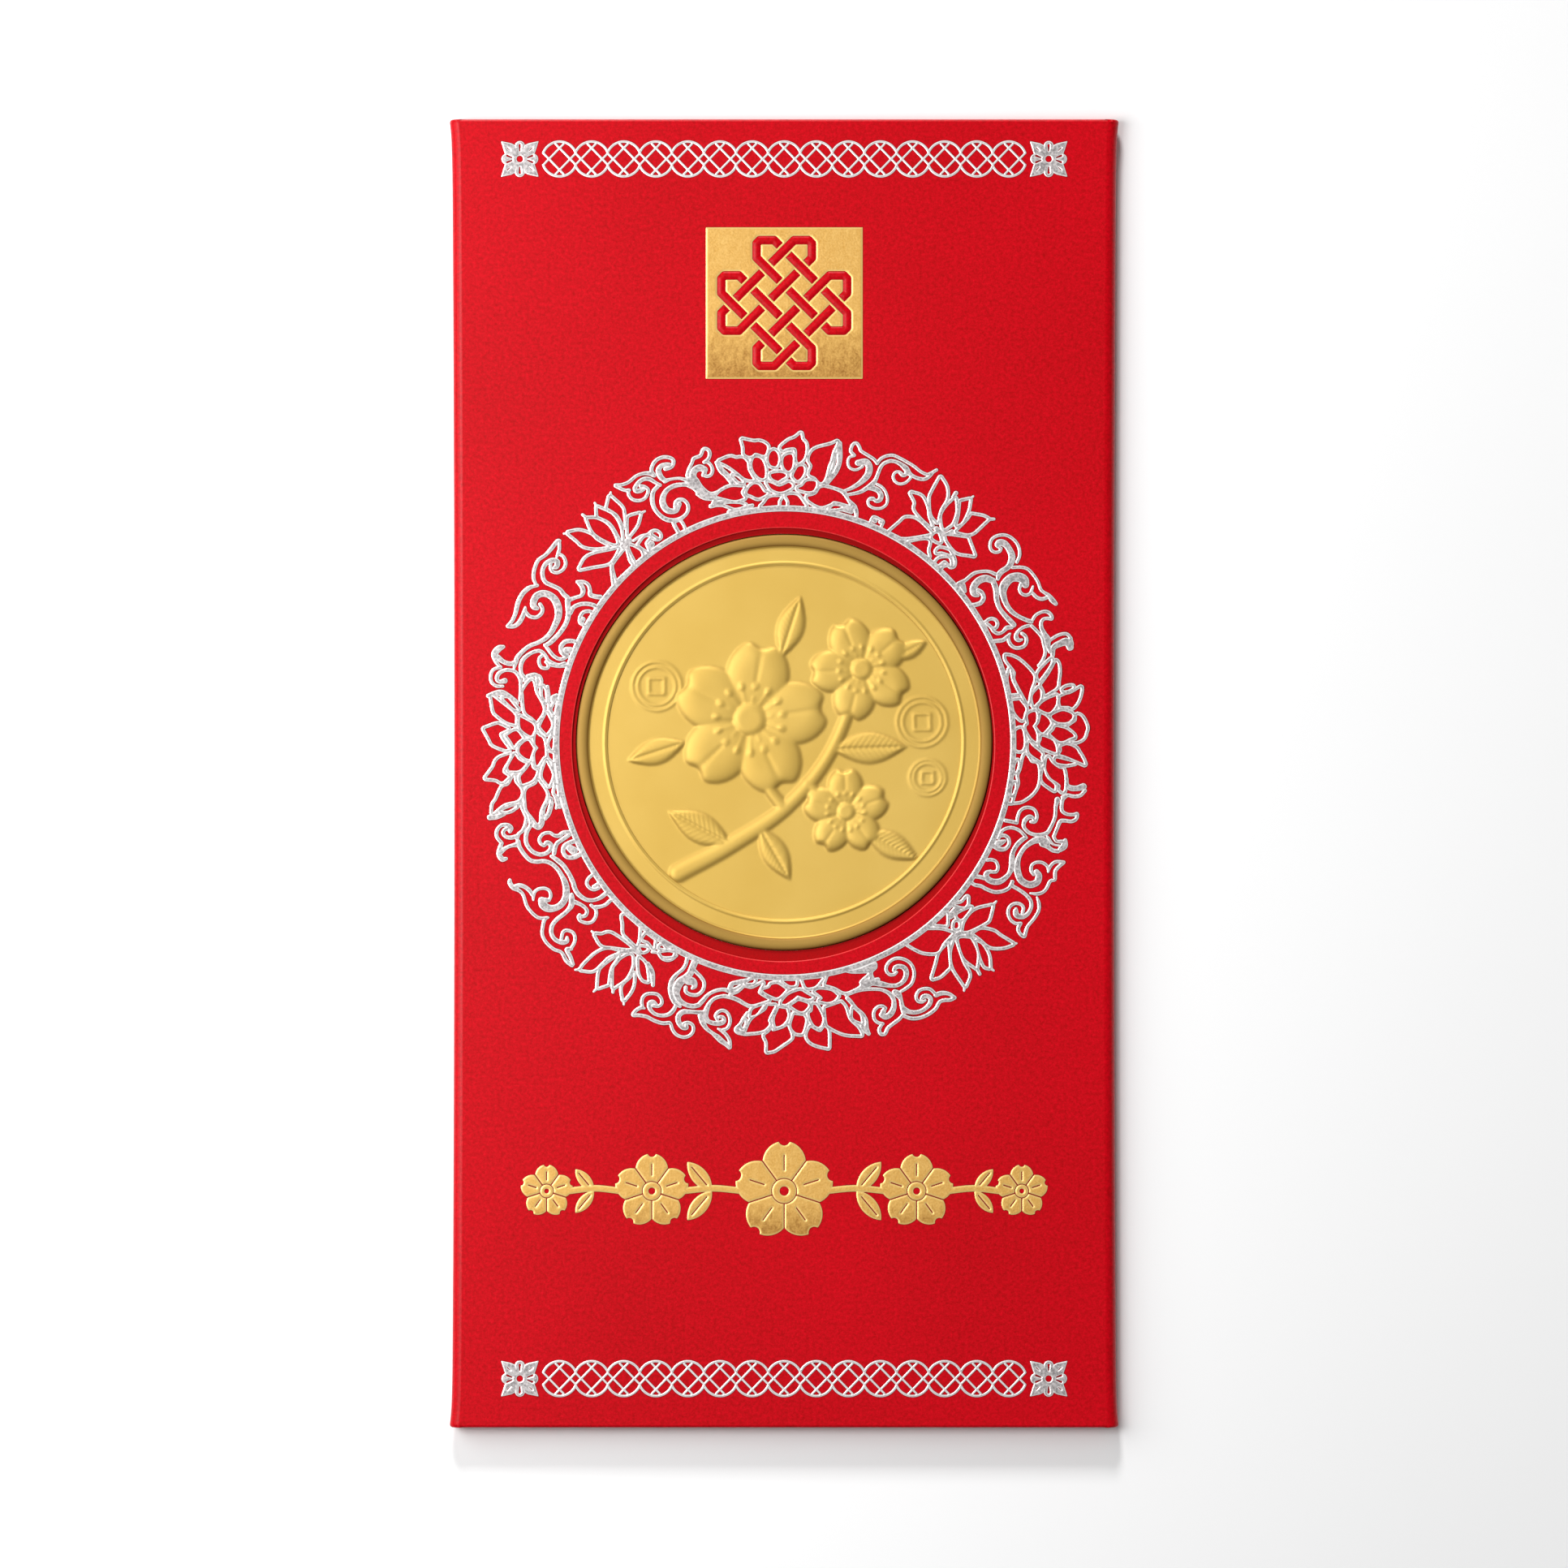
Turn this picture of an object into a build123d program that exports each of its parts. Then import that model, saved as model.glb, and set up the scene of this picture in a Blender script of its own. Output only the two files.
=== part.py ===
from build123d import *
import os
from math import acos, ceil, cos, radians, sin, sqrt

# Envelope: outside size, and the red card that one sheet of it is folded from (mm)
envelope_width = 85.0
envelope_height = 168.0
card = 0.35
glue_film = 0.05
note_space = 0.3
crease_flat = 0.035

# Flaps and seam of the folded sheet
top_flap_length = 34.0
top_flap_taper = 9.0
top_flap_corner = 7.0
bottom_flap_length = 15.0
bottom_flap_taper = 4.0
bottom_flap_corner = 2.0
seam_width = 12.0
seam_end_gap = 1.0
seam_glue_inset = 3.0
bottom_glue_inset = 1.5
back_edge_inset = 0.8
throat_drop = 1.6
end_fold_inset = 0.3

# Stiff holder behind the front, with the card that closes its back
holder_board = 1.0
backing_card = 0.3
holder_side_gap = 0.4
holder_end_gap = 0.8
glue_clear = 2.6

# Medallion, its foam pad, and the round window that it shows through
medallion_diameter = 53.3
medallion_thickness = 1.1
rolled_edge = 1.23
roll_corner = 0.41
rim_band_height = 0.65
field_height = 0.5
band_width = 1.87
field_slope = 0.4
groove_depth = 0.2
blossom_relief = 0.4
leaf_relief = 0.2
medallion_play = 0.15
window_gap = 0.72
pad_width = 34.0
pad_thickness = 0.3

# Blossom sprig on the medallion: places and sizes as shares of its field's radius, turns in degrees
medallion_blossoms = ((-0.196, 0.131, 0.375), (0.436, 0.414, 0.244), (0.349, -0.392, 0.2))
medallion_leaves = ((0.065, 0.588, 0.283, -20), (-0.566, -0.414, 0.261, 125), (0.654, -0.153, 0.261, -75))
branch_width = 1.7
branch_start = (-0.588, -0.697)
branch_heading = 17.0
branch_arcs = ((1.48, 56),)

# Rim of one blossom petal: turn from its notch in degrees, and share of the blossom's radius
petal_rim = ((0, 0.7), (16, 0.94), (36, 1.0), (56, 0.94))
petals = 5
blossom_eye = 0.24
leaf_slimness = 0.42

# Foil stamping on the front; curves are drawn in straight runs, CURL_RUN degrees at most for a curl
foil = 0.08
line = 0.45
leaf_runs = 3
curl_run = 46.0

# Gold square with four interlaced loops left red in it
square_width = 20.1
square_height = 19.4
knot_pitch = 3.2
knot_line = 1.15
knot_margin = 1.2
loop_corner = 0.28

# Gold sprig below the medallion: a row of blossoms joined by straight stems with leaves;
# place and radius of each blossom as shares of the middle one's radius
sprig_blossom = 6.4
sprig_blossoms = ((0.0, 1.0), (2.656, 0.75), (4.766, 0.531))
sprig_line = 0.8
leaf_share = 0.95
leaf_lean = 50.0

# Border chains and corner rosettes
border_margin = 6.0
top_border_inset = 5.1
bottom_border_inset = 6.3
chain_pitch = 4.12
ring_diameter = 4.74
chain_line = 0.5
ring_sides = 8
diamond_reach = 1.26
pierce_start = 0.22
pierce_turn = 40.0
rosette_size = 4.84
rosette_gap = 0.32
rosette_eye = 0.42
rosette_leaf_width = 1.8
rosette_petal = 0.97
rosette_petal_place = 1.45
rosette_sides = 6

# Lotus wreath round the window; clockwise angles from the top, in degrees
wreath_gap = 1.53
wreath_height = 10.0
wreath_ring_width = 0.83
wreath_stretch = 1.027
big_lotus_angles = (0, 87, 177, 268)
small_lotus_angles = (37, 135.5, 217.5, 321)
spray_angles = (22, 120, 200, 301.5)
mirrored_spray_angles = (55, 153.7, 234, 338)
hook_angles = (120, 301.5)
mirrored_hook_angles = (55, 234)
scroll_line = 0.62

# Scrolls between the lotuses, as shares of the wreath's height:
# start, heading and tangent arcs (radius and turn) of each stem; place, length and lean of each leaf
spray_stems = (
    ((-0.43, 0.28), 20, ((0.29, 70), (0.15, 180), (0.075, 190))),
    ((-0.2, 0.42), 90, ((0.39, -82), (0.11, -230))),
    ((-0.26, 0.3), 60, ((0.135, -235),)),
)
spray_leaves = ((-0.08, 0.69, 0.52, 66), (0.04, 0.8, 0.5, -71))
spray_leaf_slimness = 0.25
hook_stem = ((-0.4, 0.3), 165, ((0.38, -80), (0.1, 215)))

# Petals of each lotus from back to front: length, width, lean and height of its foot,
# with lengths as shares of the wreath's height
big_lotus = (
    (0.89, 0.4, 0, 0.1),
    (0.94, 0.36, 30, 0.08),
    (0.94, 0.36, -30, 0.08),
    (1.0, 0.38, 58, 0.09),
    (1.0, 0.38, -58, 0.09),
    (0.58, 0.28, 20, 0.09),
    (0.58, 0.28, -20, 0.09),
    (0.98, 0.32, 80, 0.07),
    (0.98, 0.32, -80, 0.07),
    (0.45, 0.26, 0, 0.05),
)
small_lotus = (
    (0.8, 0.29, 24, 0.11),
    (0.8, 0.29, -24, 0.11),
    (0.84, 0.25, 0, 0.02),
    (0.66, 0.28, 58, 0.09),
    (0.66, 0.28, -58, 0.09),
)

# Layout down the front: shares of the height that the motifs leave over, above each of them
square_gap_share = 0.163
wreath_gap_share = 0.167
sprig_gap_share = 0.266

# Levels of the stack, from the flaps that it lies on up to the stamped front
flap_top = card
back_bottom = flap_top + glue_film
back_top = back_bottom + card
seam_bottom = back_top + glue_film
seam_top = seam_bottom + card
backing_bottom = seam_top + note_space
holder_bottom = backing_bottom + backing_card
holder_top = holder_bottom + holder_board
front_bottom = holder_top + glue_film
front_top = front_bottom + card
medallion_bottom = holder_bottom + pad_thickness

# Edges of the flat panels: the side folds are half rounds, the end folds turn inside the height
right_fold = (front_top - back_bottom) / 2
left_fold = (front_top - seam_bottom) / 2
panel_left = -envelope_width / 2 + left_fold
panel_right = envelope_width / 2 - right_fold
panel_top = envelope_height / 2 - card
panel_bottom = -panel_top
panel_height = panel_top - panel_bottom
end_fold_width = envelope_width - 2 * end_fold_inset
medallion_radius = medallion_diameter / 2
window_radius = medallion_radius + window_gap

# Places of the stamped motifs, worked out from the two ends inwards
wreath_inner = window_radius + wreath_gap
wreath_reach = wreath_inner + wreath_ring_width / 2
wreath_half = wreath_reach * wreath_stretch + wreath_height
motifs_height = square_height + 2 * wreath_half + 2 * sprig_blossom + ring_diameter
free_height = envelope_height - top_border_inset - bottom_border_inset - motifs_height
top_border_place = envelope_height / 2 - top_border_inset
bottom_border_place = -envelope_height / 2 + bottom_border_inset
square_top = top_border_place - ring_diameter / 2 - square_gap_share * free_height
square_place = square_top - square_height / 2
window_place = square_top - square_height - wreath_gap_share * free_height - wreath_half
sprig_place = window_place - wreath_half - sprig_gap_share * free_height - sprig_blossom
chain_room = envelope_width - 2 * (border_margin + rosette_size + rosette_gap)
chain_rings = int((chain_room - ring_diameter) / chain_pitch) + 1
chain_length = (chain_rings - 1) * chain_pitch + ring_diameter
rosette_place = chain_length / 2 + rosette_gap + rosette_size / 2
knot_length = square_height - 2 * knot_margin

os.makedirs("parts", exist_ok=True)


def write(piece, name):
    """Label a finished piece and write it under the same name."""
    piece.label = name
    export_step(piece, f"parts/{name}.step")


def span(low, high):
    """Centre of a stretch and its length."""
    return (low + high) / 2, high - low


def turned(x, y, angle):
    """Place in a flat drawing, turned ANGLE degrees anticlockwise."""
    return Location((x, y, 0), (0, 0, angle))


def leaf(length, width, inset=0.0):
    """Pointed leaf from its foot at the origin up to its tip, drawn in by INSET all round.

    Each side is an arc of one radius, cut into a few straight runs.
    """
    arc_radius = (length**2 + width**2) / (4 * width)
    arc_offset = arc_radius - width / 2
    half_turn = acos(arc_offset / (arc_radius - inset))
    turns = [half_turn * (2 * step / leaf_runs - 1) for step in range(leaf_runs)]
    side = [(arc_radius - inset) * Vector(cos(turn), sin(turn)) - Vector(arc_offset, 0) for turn in turns]
    middle = Vector(0, length / 2)
    with BuildSketch() as shape:
        with BuildLine():
            Polyline([middle + point for point in side] + [middle - point for point in side], close=True)
        make_face()
    return shape.sketch


def lotus(layers, outline=True):
    """Lotus of pointed petals, each covering the ones behind it: its line drawing, or all it covers."""
    with BuildSketch() as flower:
        for length, width, lean, foot in layers:
            petal = (length * wreath_height, width * wreath_height)
            with Locations(turned(0, foot * wreath_height, lean)):
                add(leaf(*petal))
                if outline:
                    add(leaf(*petal, line), mode=Mode.SUBTRACT)
    return flower.sketch


def blossom(radius, eye=0.0):
    """Blossom of notched petals, with an open eye where EYE is a share of its radius."""
    rim = [
        Vector(0, radius * share).rotate(Axis.Z, petal * 360 / petals + turn)
        for petal in range(petals)
        for turn, share in petal_rim
    ]
    with BuildSketch() as flower:
        with BuildLine():
            Polyline(rim, close=True)
        make_face()
        if eye:
            RegularPolygon(radius * eye, petals, mode=Mode.SUBTRACT)
    return flower.sketch


def stem(start, heading, arcs, size, width):
    """Curling stem of one width that starts at HEADING degrees; its lengths are shares of SIZE.

    Tangent arcs, each given as radius and turn, follow each other; each is cut into straight runs.
    """
    point = size * Vector(start)
    left = []
    right = []
    for radius, turn in arcs:
        runs = ceil(abs(turn) / curl_run)
        step = turn / runs
        chord = 2 * size * radius * sin(radians(abs(step)) / 2)
        for _ in range(runs):
            across = Vector(0, width / 2).rotate(Axis.Z, heading)
            left.append(point + across)
            right.append(point - across)
            point += Vector(chord, 0).rotate(Axis.Z, heading + step / 2)
            heading += step
    across = Vector(0, width / 2).rotate(Axis.Z, heading)
    with BuildSketch() as drawn:
        with BuildLine():
            Polyline(left + [point + across, point - across] + right[::-1], close=True)
        make_face()
    return drawn.sketch


def spray():
    """Scroll spray of the wreath: a volute, a branch that curls under its leaf, and a low curl."""
    with BuildSketch() as scrolls:
        for start, heading, arcs in spray_stems:
            add(stem(start, heading, arcs, wreath_height, scroll_line))
        for x, y, length, lean in spray_leaves:
            with Locations(turned(x * wreath_height, y * wreath_height, lean)):
                add(leaf(length * wreath_height, length * wreath_height * spray_leaf_slimness))
    return scrolls.sketch


def hook():
    """Hook that reaches from a spray to the shoulder of the lotus beside it."""
    return stem(*hook_stem, wreath_height, scroll_line)


def on_ring(*angles):
    """Places on the wreath's ring, clockwise from the top in degrees, each facing outwards."""
    return [
        turned(
            wreath_reach * sin(radians(angle)),
            wreath_reach * wreath_stretch * cos(radians(angle)),
            -angle,
        )
        for angle in angles
    ]


def knot():
    """Four long loops, two leaning each way, that cross in a lattice."""
    with BuildSketch() as loops:
        for lean in (45, -45):
            with Locations(turned(0, 0, lean)):
                with Locations((0, knot_pitch), (0, -knot_pitch)):
                    add(loop())
    return loops.sketch


def loop():
    """Long closed loop with its ends cut off at the corners."""
    with BuildSketch() as outline:
        for inset in (0, knot_line):
            breadth = knot_pitch + knot_line - 2 * inset
            with BuildSketch(mode=Mode.PRIVATE) as ring:
                Rectangle(knot_length - 2 * inset, breadth)
                chamfer(ring.vertices(), breadth * loop_corner)
            add(ring.sketch, mode=Mode.SUBTRACT if inset else Mode.ADD)
    return outline.sketch


def chain():
    """Row of overlapping rings, each pierced round a diamond; drawn with few straight runs."""
    ring_inner = ring_diameter / 2 - chain_line
    line_reach = chain_line / sqrt(2)
    diamond = diamond_reach - line_reach
    near = (diamond_reach + line_reach) * pierce_start
    far = diamond_reach + line_reach - near
    on_ring_inner = (ring_inner * sin(radians(pierce_turn)), ring_inner * cos(radians(pierce_turn)))
    pierced = ((near, far), on_ring_inner, (far, near))
    with BuildSketch() as row:
        with GridLocations(chain_pitch, 0, chain_rings, 1):
            RegularPolygon(ring_diameter / 2, ring_sides)
        with GridLocations(chain_pitch, 0, chain_rings, 1):
            RegularPolygon(diamond, 4, mode=Mode.SUBTRACT)
            for side in (1, -1):
                for level in (1, -1):
                    corners = [(side * x, level * y) for x, y in pierced]
                    Polygon(*corners, align=None, mode=Mode.SUBTRACT)
    return row.sketch


def rosette():
    """Corner rosette: four pointed leaves to its corners, four blunt petals and an eye."""
    with BuildSketch() as flower:
        for corner in (45, 135, 225, 315):
            with Locations(turned(0, 0, corner)):
                add(leaf(rosette_size / sqrt(2), rosette_leaf_width))
        with PolarLocations(rosette_petal_place, 4):
            RegularPolygon(rosette_petal, rosette_sides)
        RegularPolygon(rosette_eye, rosette_sides, mode=Mode.SUBTRACT)
    return flower.sketch


# Front panel: flat face of the sheet between the side folds, with the round window
with BuildPart() as front_panel:
    with BuildSketch(Plane.XY.offset(front_bottom)):
        centre_x, across = span(panel_left, panel_right)
        with Locations((centre_x, 0)):
            Rectangle(across, panel_height)
        with Locations((0, window_place)):
            Circle(window_radius, mode=Mode.SUBTRACT)
    extrude(amount=card)
write(front_panel.part, "front_panel")

# Back panel: its free left edge laps the seam, its throat is cut lower than the top fold
with BuildPart() as back_panel:
    with BuildSketch(Plane.XY.offset(back_bottom)):
        centre_x, across = span(-envelope_width / 2 + back_edge_inset, panel_right)
        centre_y, along = span(panel_bottom, panel_top - throat_drop)
        with Locations((centre_x, centre_y)):
            Rectangle(across, along)
    extrude(amount=card)
write(back_panel.part, "back_panel")


# Side folds: half-round bends of the card from the front to the back or to the seam flap
def side_fold(centre_x, low, side):
    """Half-round bend between the level LOW and the front, bulging to SIDE."""
    radius = (front_top - low) / 2
    with BuildPart() as fold:
        with BuildSketch(Plane((centre_x, panel_bottom, low + radius), x_dir=(1, 0, 0), z_dir=(0, 1, 0))):
            Circle(radius)
            Circle(radius - card, mode=Mode.SUBTRACT)
            with Locations((-side * radius / 2, 0)):
                Rectangle(radius, 2 * radius, mode=Mode.SUBTRACT)
        extrude(amount=panel_height)
    return fold.part


write(side_fold(panel_left, seam_bottom, -1), "left_side_fold")
write(side_fold(panel_right, back_bottom, 1), "right_side_fold")


# Seam flap: tucked inside the back panel and glued to it
def seam_strip(bottom, thickness, trim):
    """Strip along the seam, TRIM narrower than the flap at its free edge."""
    with BuildPart() as strip:
        with BuildSketch(Plane.XY.offset(bottom)):
            with Locations((panel_left + (seam_width - trim) / 2, 0)):
                Rectangle(seam_width - trim, panel_height - 2 * seam_end_gap - 2 * throat_drop)
        extrude(amount=thickness)
    return strip.part


write(seam_strip(seam_bottom, card, 0), "seam_flap")
write(seam_strip(back_top, glue_film, seam_glue_inset), "seam_glue")

# Bottom fold: narrow wall across the lower end, with both creases rounded outside
with BuildPart() as bottom_fold:
    with BuildSketch(Plane.XY):
        with Locations((0, panel_bottom - card / 2)):
            Rectangle(end_fold_width, card)
    extrude(amount=front_top)
    outer_creases = bottom_fold.edges().filter_by(Axis.X).group_by(Axis.Y)[0]
    fillet(outer_creases, card - crease_flat)
write(bottom_fold.part, "bottom_fold")


def end_flap(length, taper, corner, thickness, bottom, side, trim=0.0):
    """Tapered flap from an end crease towards the middle, drawn in by TRIM all round."""
    half = end_fold_width / 2 - trim
    root = panel_top - trim
    tip = panel_top - length + trim
    with BuildPart() as flap:
        with BuildSketch(Plane.XY.offset(bottom)) as outline:
            with BuildLine():
                Polyline(
                    (-half, side * root),
                    (half, side * root),
                    (half - taper, side * tip),
                    (-half + taper, side * tip),
                    close=True,
                )
            make_face()
            free_corners = outline.vertices().sort_by(lambda point: side * point.Y)[:2]
            fillet(free_corners, corner)
        extrude(amount=thickness)
    return flap.part


# Bottom flap: folded up on the back and glued there for good
bottom_shape = (bottom_flap_length, bottom_flap_taper, bottom_flap_corner)
write(end_flap(*bottom_shape, card, 0, -1), "bottom_flap")
write(end_flap(*bottom_shape, glue_film, flap_top, -1, bottom_glue_inset), "bottom_glue")

# Top fold: the wall that swings up with the flap; it turns on the front panel's inner crease
with BuildPart() as top_fold:
    with BuildSketch(Plane.XY.offset(flap_top)):
        with Locations((0, panel_top + card / 2)):
            Rectangle(end_fold_width, card)
    extrude(amount=front_bottom - flap_top)
write(top_fold.part, "top_fold")

# Top flap: lies free on the back and swings out to open the pocket
write(end_flap(top_flap_length, top_flap_taper, top_flap_corner, card, 0, 1), "top_flap")


def holder_sheet(bottom, thickness):
    """Plain sheet that fills the front of the envelope between its folds."""
    centre_x, across = span(panel_left + holder_side_gap, panel_right - holder_side_gap)
    with BuildPart() as sheet:
        with BuildSketch(Plane.XY.offset(bottom)):
            with Locations((centre_x, 0)):
                Rectangle(across, panel_height - 2 * holder_end_gap)
        extrude(amount=thickness)
    return sheet.part


# Holder: board with the medallion's hole, glued behind the front and closed by the backing card
with BuildPart() as holder:
    add(holder_sheet(holder_bottom, holder_board))
    with Locations((0, window_place, holder_top)):
        Hole(medallion_radius + medallion_play, holder_board)
write(holder.part, "holder_board")
with BuildPart() as holder_glue:
    add(holder_sheet(holder_top, glue_film))
    with Locations((0, window_place, holder_top + glue_film / 2)):
        glue_opening = 2 * (window_radius + glue_clear)
        Box(glue_opening, glue_opening, glue_film, mode=Mode.SUBTRACT)
write(holder_glue.part, "holder_glue")
write(holder_sheet(backing_bottom, backing_card), "backing_card")

# Square of foam tape that the medallion is stuck down on
with BuildPart() as medallion_pad:
    with BuildSketch(Plane((0, window_place, holder_bottom))):
        Rectangle(pad_width, pad_width)
    extrude(amount=pad_thickness)
write(medallion_pad.part, "medallion_pad")

# Medallion: turned profile with a rolled edge, a groove, a flat band and a sunk field
with BuildPart() as medallion:
    edge_inner = medallion_radius - rolled_edge
    edge_foot = rim_band_height - groove_depth
    field_radius = edge_inner - groove_depth - band_width - field_slope
    with BuildSketch(Plane((0, window_place, medallion_bottom), x_dir=(1, 0, 0), z_dir=(0, -1, 0))):
        with BuildLine():
            Polyline(
                (0, field_height),
                (0, 0),
                (medallion_radius, 0),
                (medallion_radius, medallion_thickness - roll_corner),
                (medallion_radius - roll_corner, medallion_thickness),
                (edge_inner + roll_corner, medallion_thickness),
                (edge_inner, edge_foot),
                (edge_inner - groove_depth, rim_band_height),
                (field_radius + field_slope, rim_band_height),
                (field_radius, field_height),
                close=True,
            )
        make_face()
    revolve(axis=Axis((0, window_place, 0), (0, 0, 1)))
    with BuildSketch(Plane((0, window_place, medallion_bottom + field_height))):
        add(stem(branch_start, branch_heading, branch_arcs, field_radius, branch_width))
        for x, y, length, lean in medallion_leaves:
            with Locations(turned(x * field_radius, y * field_radius, lean)):
                add(leaf(length * field_radius, length * field_radius * leaf_slimness))
    extrude(amount=leaf_relief)
    with BuildSketch(Plane((0, window_place, medallion_bottom + field_height))):
        for x, y, radius in medallion_blossoms:
            with Locations((x * field_radius, y * field_radius)):
                add(blossom(radius * field_radius))
    extrude(amount=blossom_relief)
write(medallion.part, "medallion")

# Gold square: stamped foil with the interlaced loops left open
with BuildPart() as gold_square:
    with BuildSketch(Plane((0, square_place, front_top))):
        Rectangle(square_width, square_height)
        add(knot(), mode=Mode.SUBTRACT)
    extrude(amount=foil)
write(gold_square.part, "gold_square")

# Gold sprig: blossoms in a row, smaller to the ends, with a stem and two leaves between each pair
with BuildPart() as gold_sprig:
    blossoms = [(sprig_blossom * place, sprig_blossom * radius) for place, radius in sprig_blossoms]
    with BuildSketch(Plane((0, sprig_place, front_top))):
        for (inner, inner_radius), (outer, outer_radius) in zip(blossoms, blossoms[1:]):
            middle, gap = span(inner + inner_radius, outer - outer_radius)
            leaf_length = inner_radius * leaf_share
            with Locations(turned(middle, 0, 0), turned(-middle, 0, 180)):
                Rectangle(gap + inner_radius, sprig_line)
                for lean in (-leaf_lean, 180 - leaf_lean):
                    with Locations(turned(0, 0, lean)):
                        add(leaf(leaf_length, leaf_length * leaf_slimness))
        for place, radius in blossoms:
            for x in {place, -place}:
                with Locations((x, 0)):
                    add(blossom(radius, blossom_eye))
    extrude(amount=foil)
write(gold_sprig.part, "gold_sprig")

# Borders: a chain of rings across each end
for name, place in (("top_border", top_border_place), ("bottom_border", bottom_border_place)):
    with BuildPart() as border:
        with BuildSketch(Plane((0, place, front_top))):
            add(chain())
        extrude(amount=foil)
    write(border.part, name)

# Corner rosettes: one at each end of each chain
with BuildPart() as corner_rosettes:
    with BuildSketch(Plane.XY.offset(front_top)):
        for place in (top_border_place, bottom_border_place):
            with Locations((rosette_place, place), (-rosette_place, place)):
                add(rosette())
    extrude(amount=foil)
write(corner_rosettes.part, "corner_rosettes")

# Lotus wreath: lotuses and scroll sprays on an oval base ring, the lotuses in front
with BuildPart() as lotus_wreath:
    with BuildSketch(Plane((0, window_place, front_top))):
        with Locations(*on_ring(*spray_angles)):
            add(spray())
        with Locations(*on_ring(*mirrored_spray_angles)):
            add(mirror(spray(), about=Plane.YZ, mode=Mode.PRIVATE))
        with Locations(*on_ring(*hook_angles)):
            add(hook())
        with Locations(*on_ring(*mirrored_hook_angles)):
            add(mirror(hook(), about=Plane.YZ, mode=Mode.PRIVATE))
        for flower, angles in ((small_lotus, small_lotus_angles), (big_lotus, big_lotus_angles)):
            with Locations(*on_ring(*angles)):
                add(lotus(flower, outline=False), mode=Mode.SUBTRACT)
                add(lotus(flower))
        wreath_outer = wreath_inner + wreath_ring_width
        Ellipse(wreath_outer, wreath_outer * wreath_stretch)
        Ellipse(wreath_inner, wreath_inner * wreath_stretch, mode=Mode.SUBTRACT)
    extrude(amount=foil)
write(lotus_wreath.part, "lotus_wreath")
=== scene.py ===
import bpy
import numpy as np
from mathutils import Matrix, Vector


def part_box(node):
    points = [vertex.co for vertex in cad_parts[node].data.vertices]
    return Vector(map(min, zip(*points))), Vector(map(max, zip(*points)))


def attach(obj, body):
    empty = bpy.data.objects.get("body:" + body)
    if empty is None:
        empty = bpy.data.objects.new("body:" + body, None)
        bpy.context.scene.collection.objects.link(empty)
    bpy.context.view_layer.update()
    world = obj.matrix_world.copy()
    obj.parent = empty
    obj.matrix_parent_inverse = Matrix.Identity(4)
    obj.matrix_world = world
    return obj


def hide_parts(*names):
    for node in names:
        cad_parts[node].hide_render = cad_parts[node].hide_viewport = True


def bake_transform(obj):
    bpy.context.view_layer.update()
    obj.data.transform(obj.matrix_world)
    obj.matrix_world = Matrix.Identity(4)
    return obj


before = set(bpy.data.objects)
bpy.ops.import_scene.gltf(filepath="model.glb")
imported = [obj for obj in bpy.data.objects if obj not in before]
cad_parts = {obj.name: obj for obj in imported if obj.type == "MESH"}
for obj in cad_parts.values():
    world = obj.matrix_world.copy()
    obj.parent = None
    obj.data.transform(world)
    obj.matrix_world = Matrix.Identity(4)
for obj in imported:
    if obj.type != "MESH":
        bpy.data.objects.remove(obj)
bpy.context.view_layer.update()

# Holder behind the front: a stiff board wrapped in dark red paper, with the round seat of the medallion.
# It is glued to the back of the front panel. A plain grey card closes it from behind, so that notes slide
# past, and a square of white foam tape holds the medallion down.
mm = 0.001


class Socket:
    """Output of one of a material's nodes. Arithmetic with it adds Math nodes to the same material."""

    def __init__(self, tree, output=None):
        self.tree = tree
        self.output = output

    def node(self, kind, inputs, output=0, stops=(), **settings):
        """Output of a new node: its settings come first, then a number or a link for each input."""
        made = self.tree.nodes.new("ShaderNode" + kind)
        for key, value in settings.items():
            setattr(made, key, value)
        for index, (place, colour) in enumerate(stops):
            stop = made.color_ramp.elements[index] if index < 2 else made.color_ramp.elements.new(place)
            stop.position = place
            stop.color = colour
        for key, value in inputs.items():
            if isinstance(value, Socket):
                self.tree.links.new(value.output, made.inputs[key])
            else:
                made.inputs[key].default_value = value
        return Socket(self.tree, made.outputs[output])

    def math(self, operation, first, second):
        """Math node on two values, each a number or a link."""
        return self.node("Math", {0: first, 1: second}, operation=operation)

    def __add__(self, other):
        return self.math("ADD", self, other)

    def __radd__(self, other):
        return self.math("ADD", other, self)

    def __mul__(self, other):
        return self.math("MULTIPLY", self, other)

    def __rmul__(self, other):
        return self.math("MULTIPLY", other, self)


def srgb(red, green, blue):
    """Linear colour of a screen colour from 0 to 255: each share to the power 2.2, near enough."""
    return (*((np.array((red, green, blue)) / 255) ** 2.2).tolist(), 1.0)


def finish(name, recipe, **same_all_over):
    """Material of one Principled shader: RECIPE gives the sockets that vary over the surface."""
    material = bpy.data.materials.new(name)
    material.use_nodes = True
    tree = material.node_tree
    shader = tree.nodes["Principled BSDF"]
    for key, value in same_all_over.items():
        shader.inputs[key.replace("_", " ")].default_value = value
    for key, value in recipe(Socket(tree)).items():
        tree.links.new(value.output, shader.inputs[key])
    return material


def place_in_mm(start):
    """Object coordinates in millimetres, so that a texture's scale is its count per millimetre."""
    place = start.node("TexCoord", {}, "Object")
    return start.node("VectorMath", {0: place, "Scale": 1 / mm}, operation="SCALE")


def noise(start, per_mm, detail=2.0, stretch=(1, 1, 1)):
    """Noise of PER_MM grains to the millimetre, drawn out along the axes where STRETCH is under one."""
    place = start.node("Mapping", {"Vector": place_in_mm(start), "Scale": stretch})
    return start.node("TexNoise", {"Vector": place, "Scale": per_mm, "Detail": detail}, "Fac")


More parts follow.
